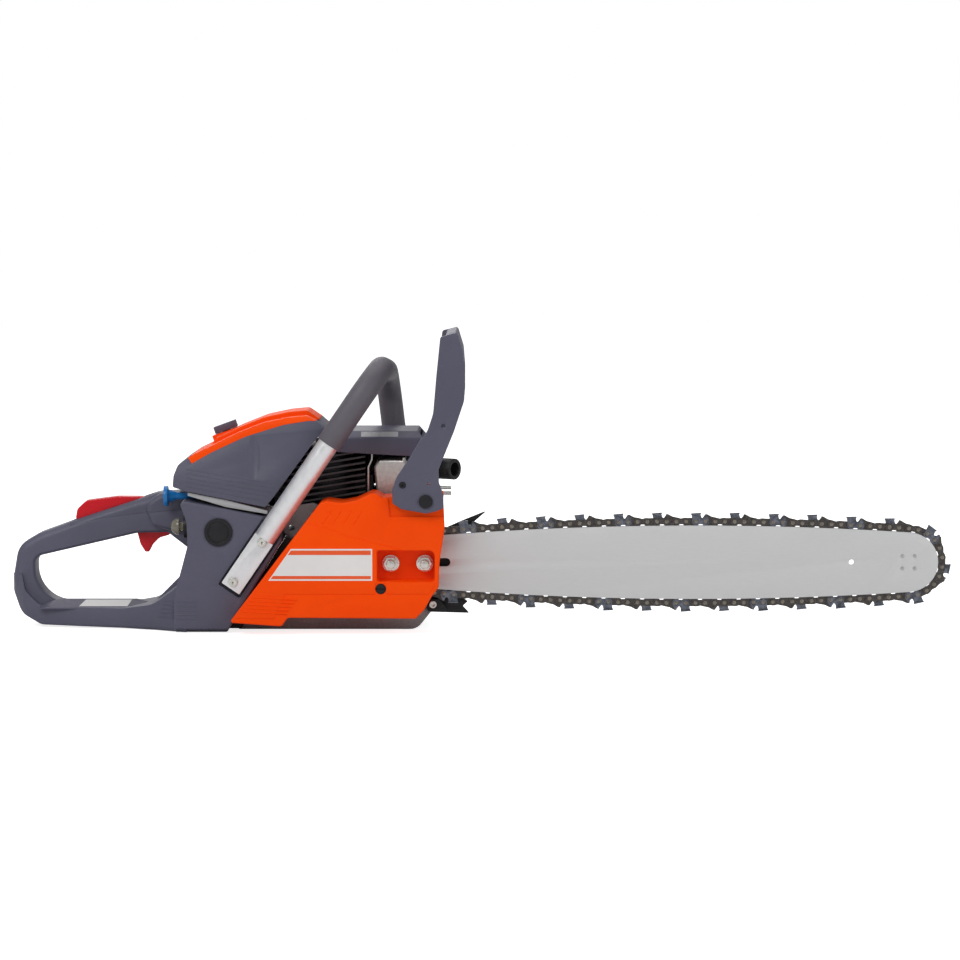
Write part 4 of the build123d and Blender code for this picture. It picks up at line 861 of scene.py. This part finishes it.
laySticker("coverLabel", "clutch_cover", sticker["coverLabel"], sticker["coverLift"],
           paperWhite)
layStripes()
laySticker("shroudSticker", "cylinder_shroud", sticker["shroudPlate"], sticker["plateLift"],
           stickerSilver)
laySticker("footSticker", "footSlope", sticker["footPlate"], sticker["plateLift"],
           paperWhite)
print("stickers laid")


# moulded ribs on the clutch cover's foot, between its sloping rear edge and the raised field
coverFootRibs = {
    "top": 36.6, "step": 3.5, "count": 5,
    "rearEdge": (-243.1, 12.4, 0.7613), "rearInset": 5.0, "rearRise": 0.8,
    "frontEdge": (-178.5, 34.3, 0.75), "frontDrop": 1.2,
    "width": 1.7, "proud": 1.25,
}


def edgeAt(edge, z):
    x, level, lean = edge
    return x + lean * (z - level)


def layCoverFootRibs(look):
    lines = []
    for k in range(look["count"]):
        z = look["top"] - k * look["step"]
        rear = (edgeAt(look["rearEdge"], z) + look["rearInset"], z + look["rearRise"])
        front = (edgeAt(look["frontEdge"], z), z - look["frontDrop"])
        lines.append((rear, front))
    layRibs("coverFootRibs", "clutch_cover", lines, look["width"], look["proud"], "orange_plastic")


# short slanting ribs above the raised field
coverVentRibs = {"from": -152.0, "step": 10.0, "count": 4, "lean": 8.0, "heights": (109.5, 122.0),
                 "width": 1.8, "proud": 0.6}


def layCoverVentRibs(look):
    low, high = look["heights"]
    starts = [look["from"] + k * look["step"] for k in range(look["count"])]
    lines = [((x, low), (x + look["lean"], high)) for x in starts]
    layRibs("coverVentRibs", "clutch_cover", lines, look["width"], look["proud"], "orange_plastic")


# ribs above the top cover's lower edge, on both sides
topCoverRibs = {"rear": (-286.0, 142.4), "front": (-210.0, 128.0), "frontShift": 3.2,
                "first": 1.5, "step": 4.2, "count": 5, "width": 1.3, "proud": 0.4}


def layTopCoverRibs(look):
    (rearX, rearZ), (frontX, frontZ) = look["rear"], look["front"]
    lines = []
    for k in range(look["count"]):
        lift = look["first"] + k * look["step"]
        lines.append(((rearX, rearZ + lift), (frontX + k * look["frontShift"], frontZ + lift)))
    for name, side in (("topCoverRibs", nearSide), ("topCoverRibsFar", farSide)):
        layRibs(name, "top_cover", lines, look["width"], look["proud"], "grey_plastic", side)


# level ribs on the rear housing, their rear ends on a slant
housingRibs = {"from": 14.0, "step": 4.1, "count": 5, "rear": -322.0, "rearLean": 0.4, "front": -276.0,
               "width": 1.5, "proud": 0.5}


def layHousingRibs(look):
    heights = [look["from"] + k * look["step"] for k in range(look["count"])]
    lines = [((look["rear"] + look["rearLean"] * z, z), (look["front"], z)) for z in heights]
    layRibs("housingRibs", "rear_handle_tank", lines, look["width"], look["proud"], "grey_plastic")


layCoverFootRibs(coverFootRibs)
layCoverVentRibs(coverVentRibs)
layTopCoverRibs(topCoverRibs)
layHousingRibs(housingRibs)
print("ribs laid")


# screw heads that hold the covers and halves together: places in x and z, radius and height in mm
screws = {
    "starterScrews": {"on": "starter_housing", "places": [(-165, 50), (-165, 118), (-66, 122), (-90, 36)],
                      "radius": 3.9, "height": 2.0, "slot": "zinc", "side": farSide},
    "gripScrews": {"on": "rear_handle_tank", "places": [(-430, 84), (-455, 48), (-380, 12), (-285, 110)],
                   "radius": 3.2, "height": 1.4, "slot": "black_steel", "side": farSide},
    "guardScrew": {"on": "hand_guard", "places": [(-73.6, 147.8)],
                   "radius": 3.4, "height": 1.6, "slot": "black_steel", "body": "guard"},
    "handleScrews": {"on": "housing_screws", "places": [(-240.1, 50.9), (-211.4, 89.9)],
                     "radius": 4.5, "height": 1.5, "slot": "zinc"},
}
for screwName, look in screws.items():
    setScrews(screwName, look["on"], look["places"], look["radius"], look["height"], look["slot"],
              look.get("side", nearSide), look.get("body", "frame"))
print("screws set")

bpy.context.view_layer.update()
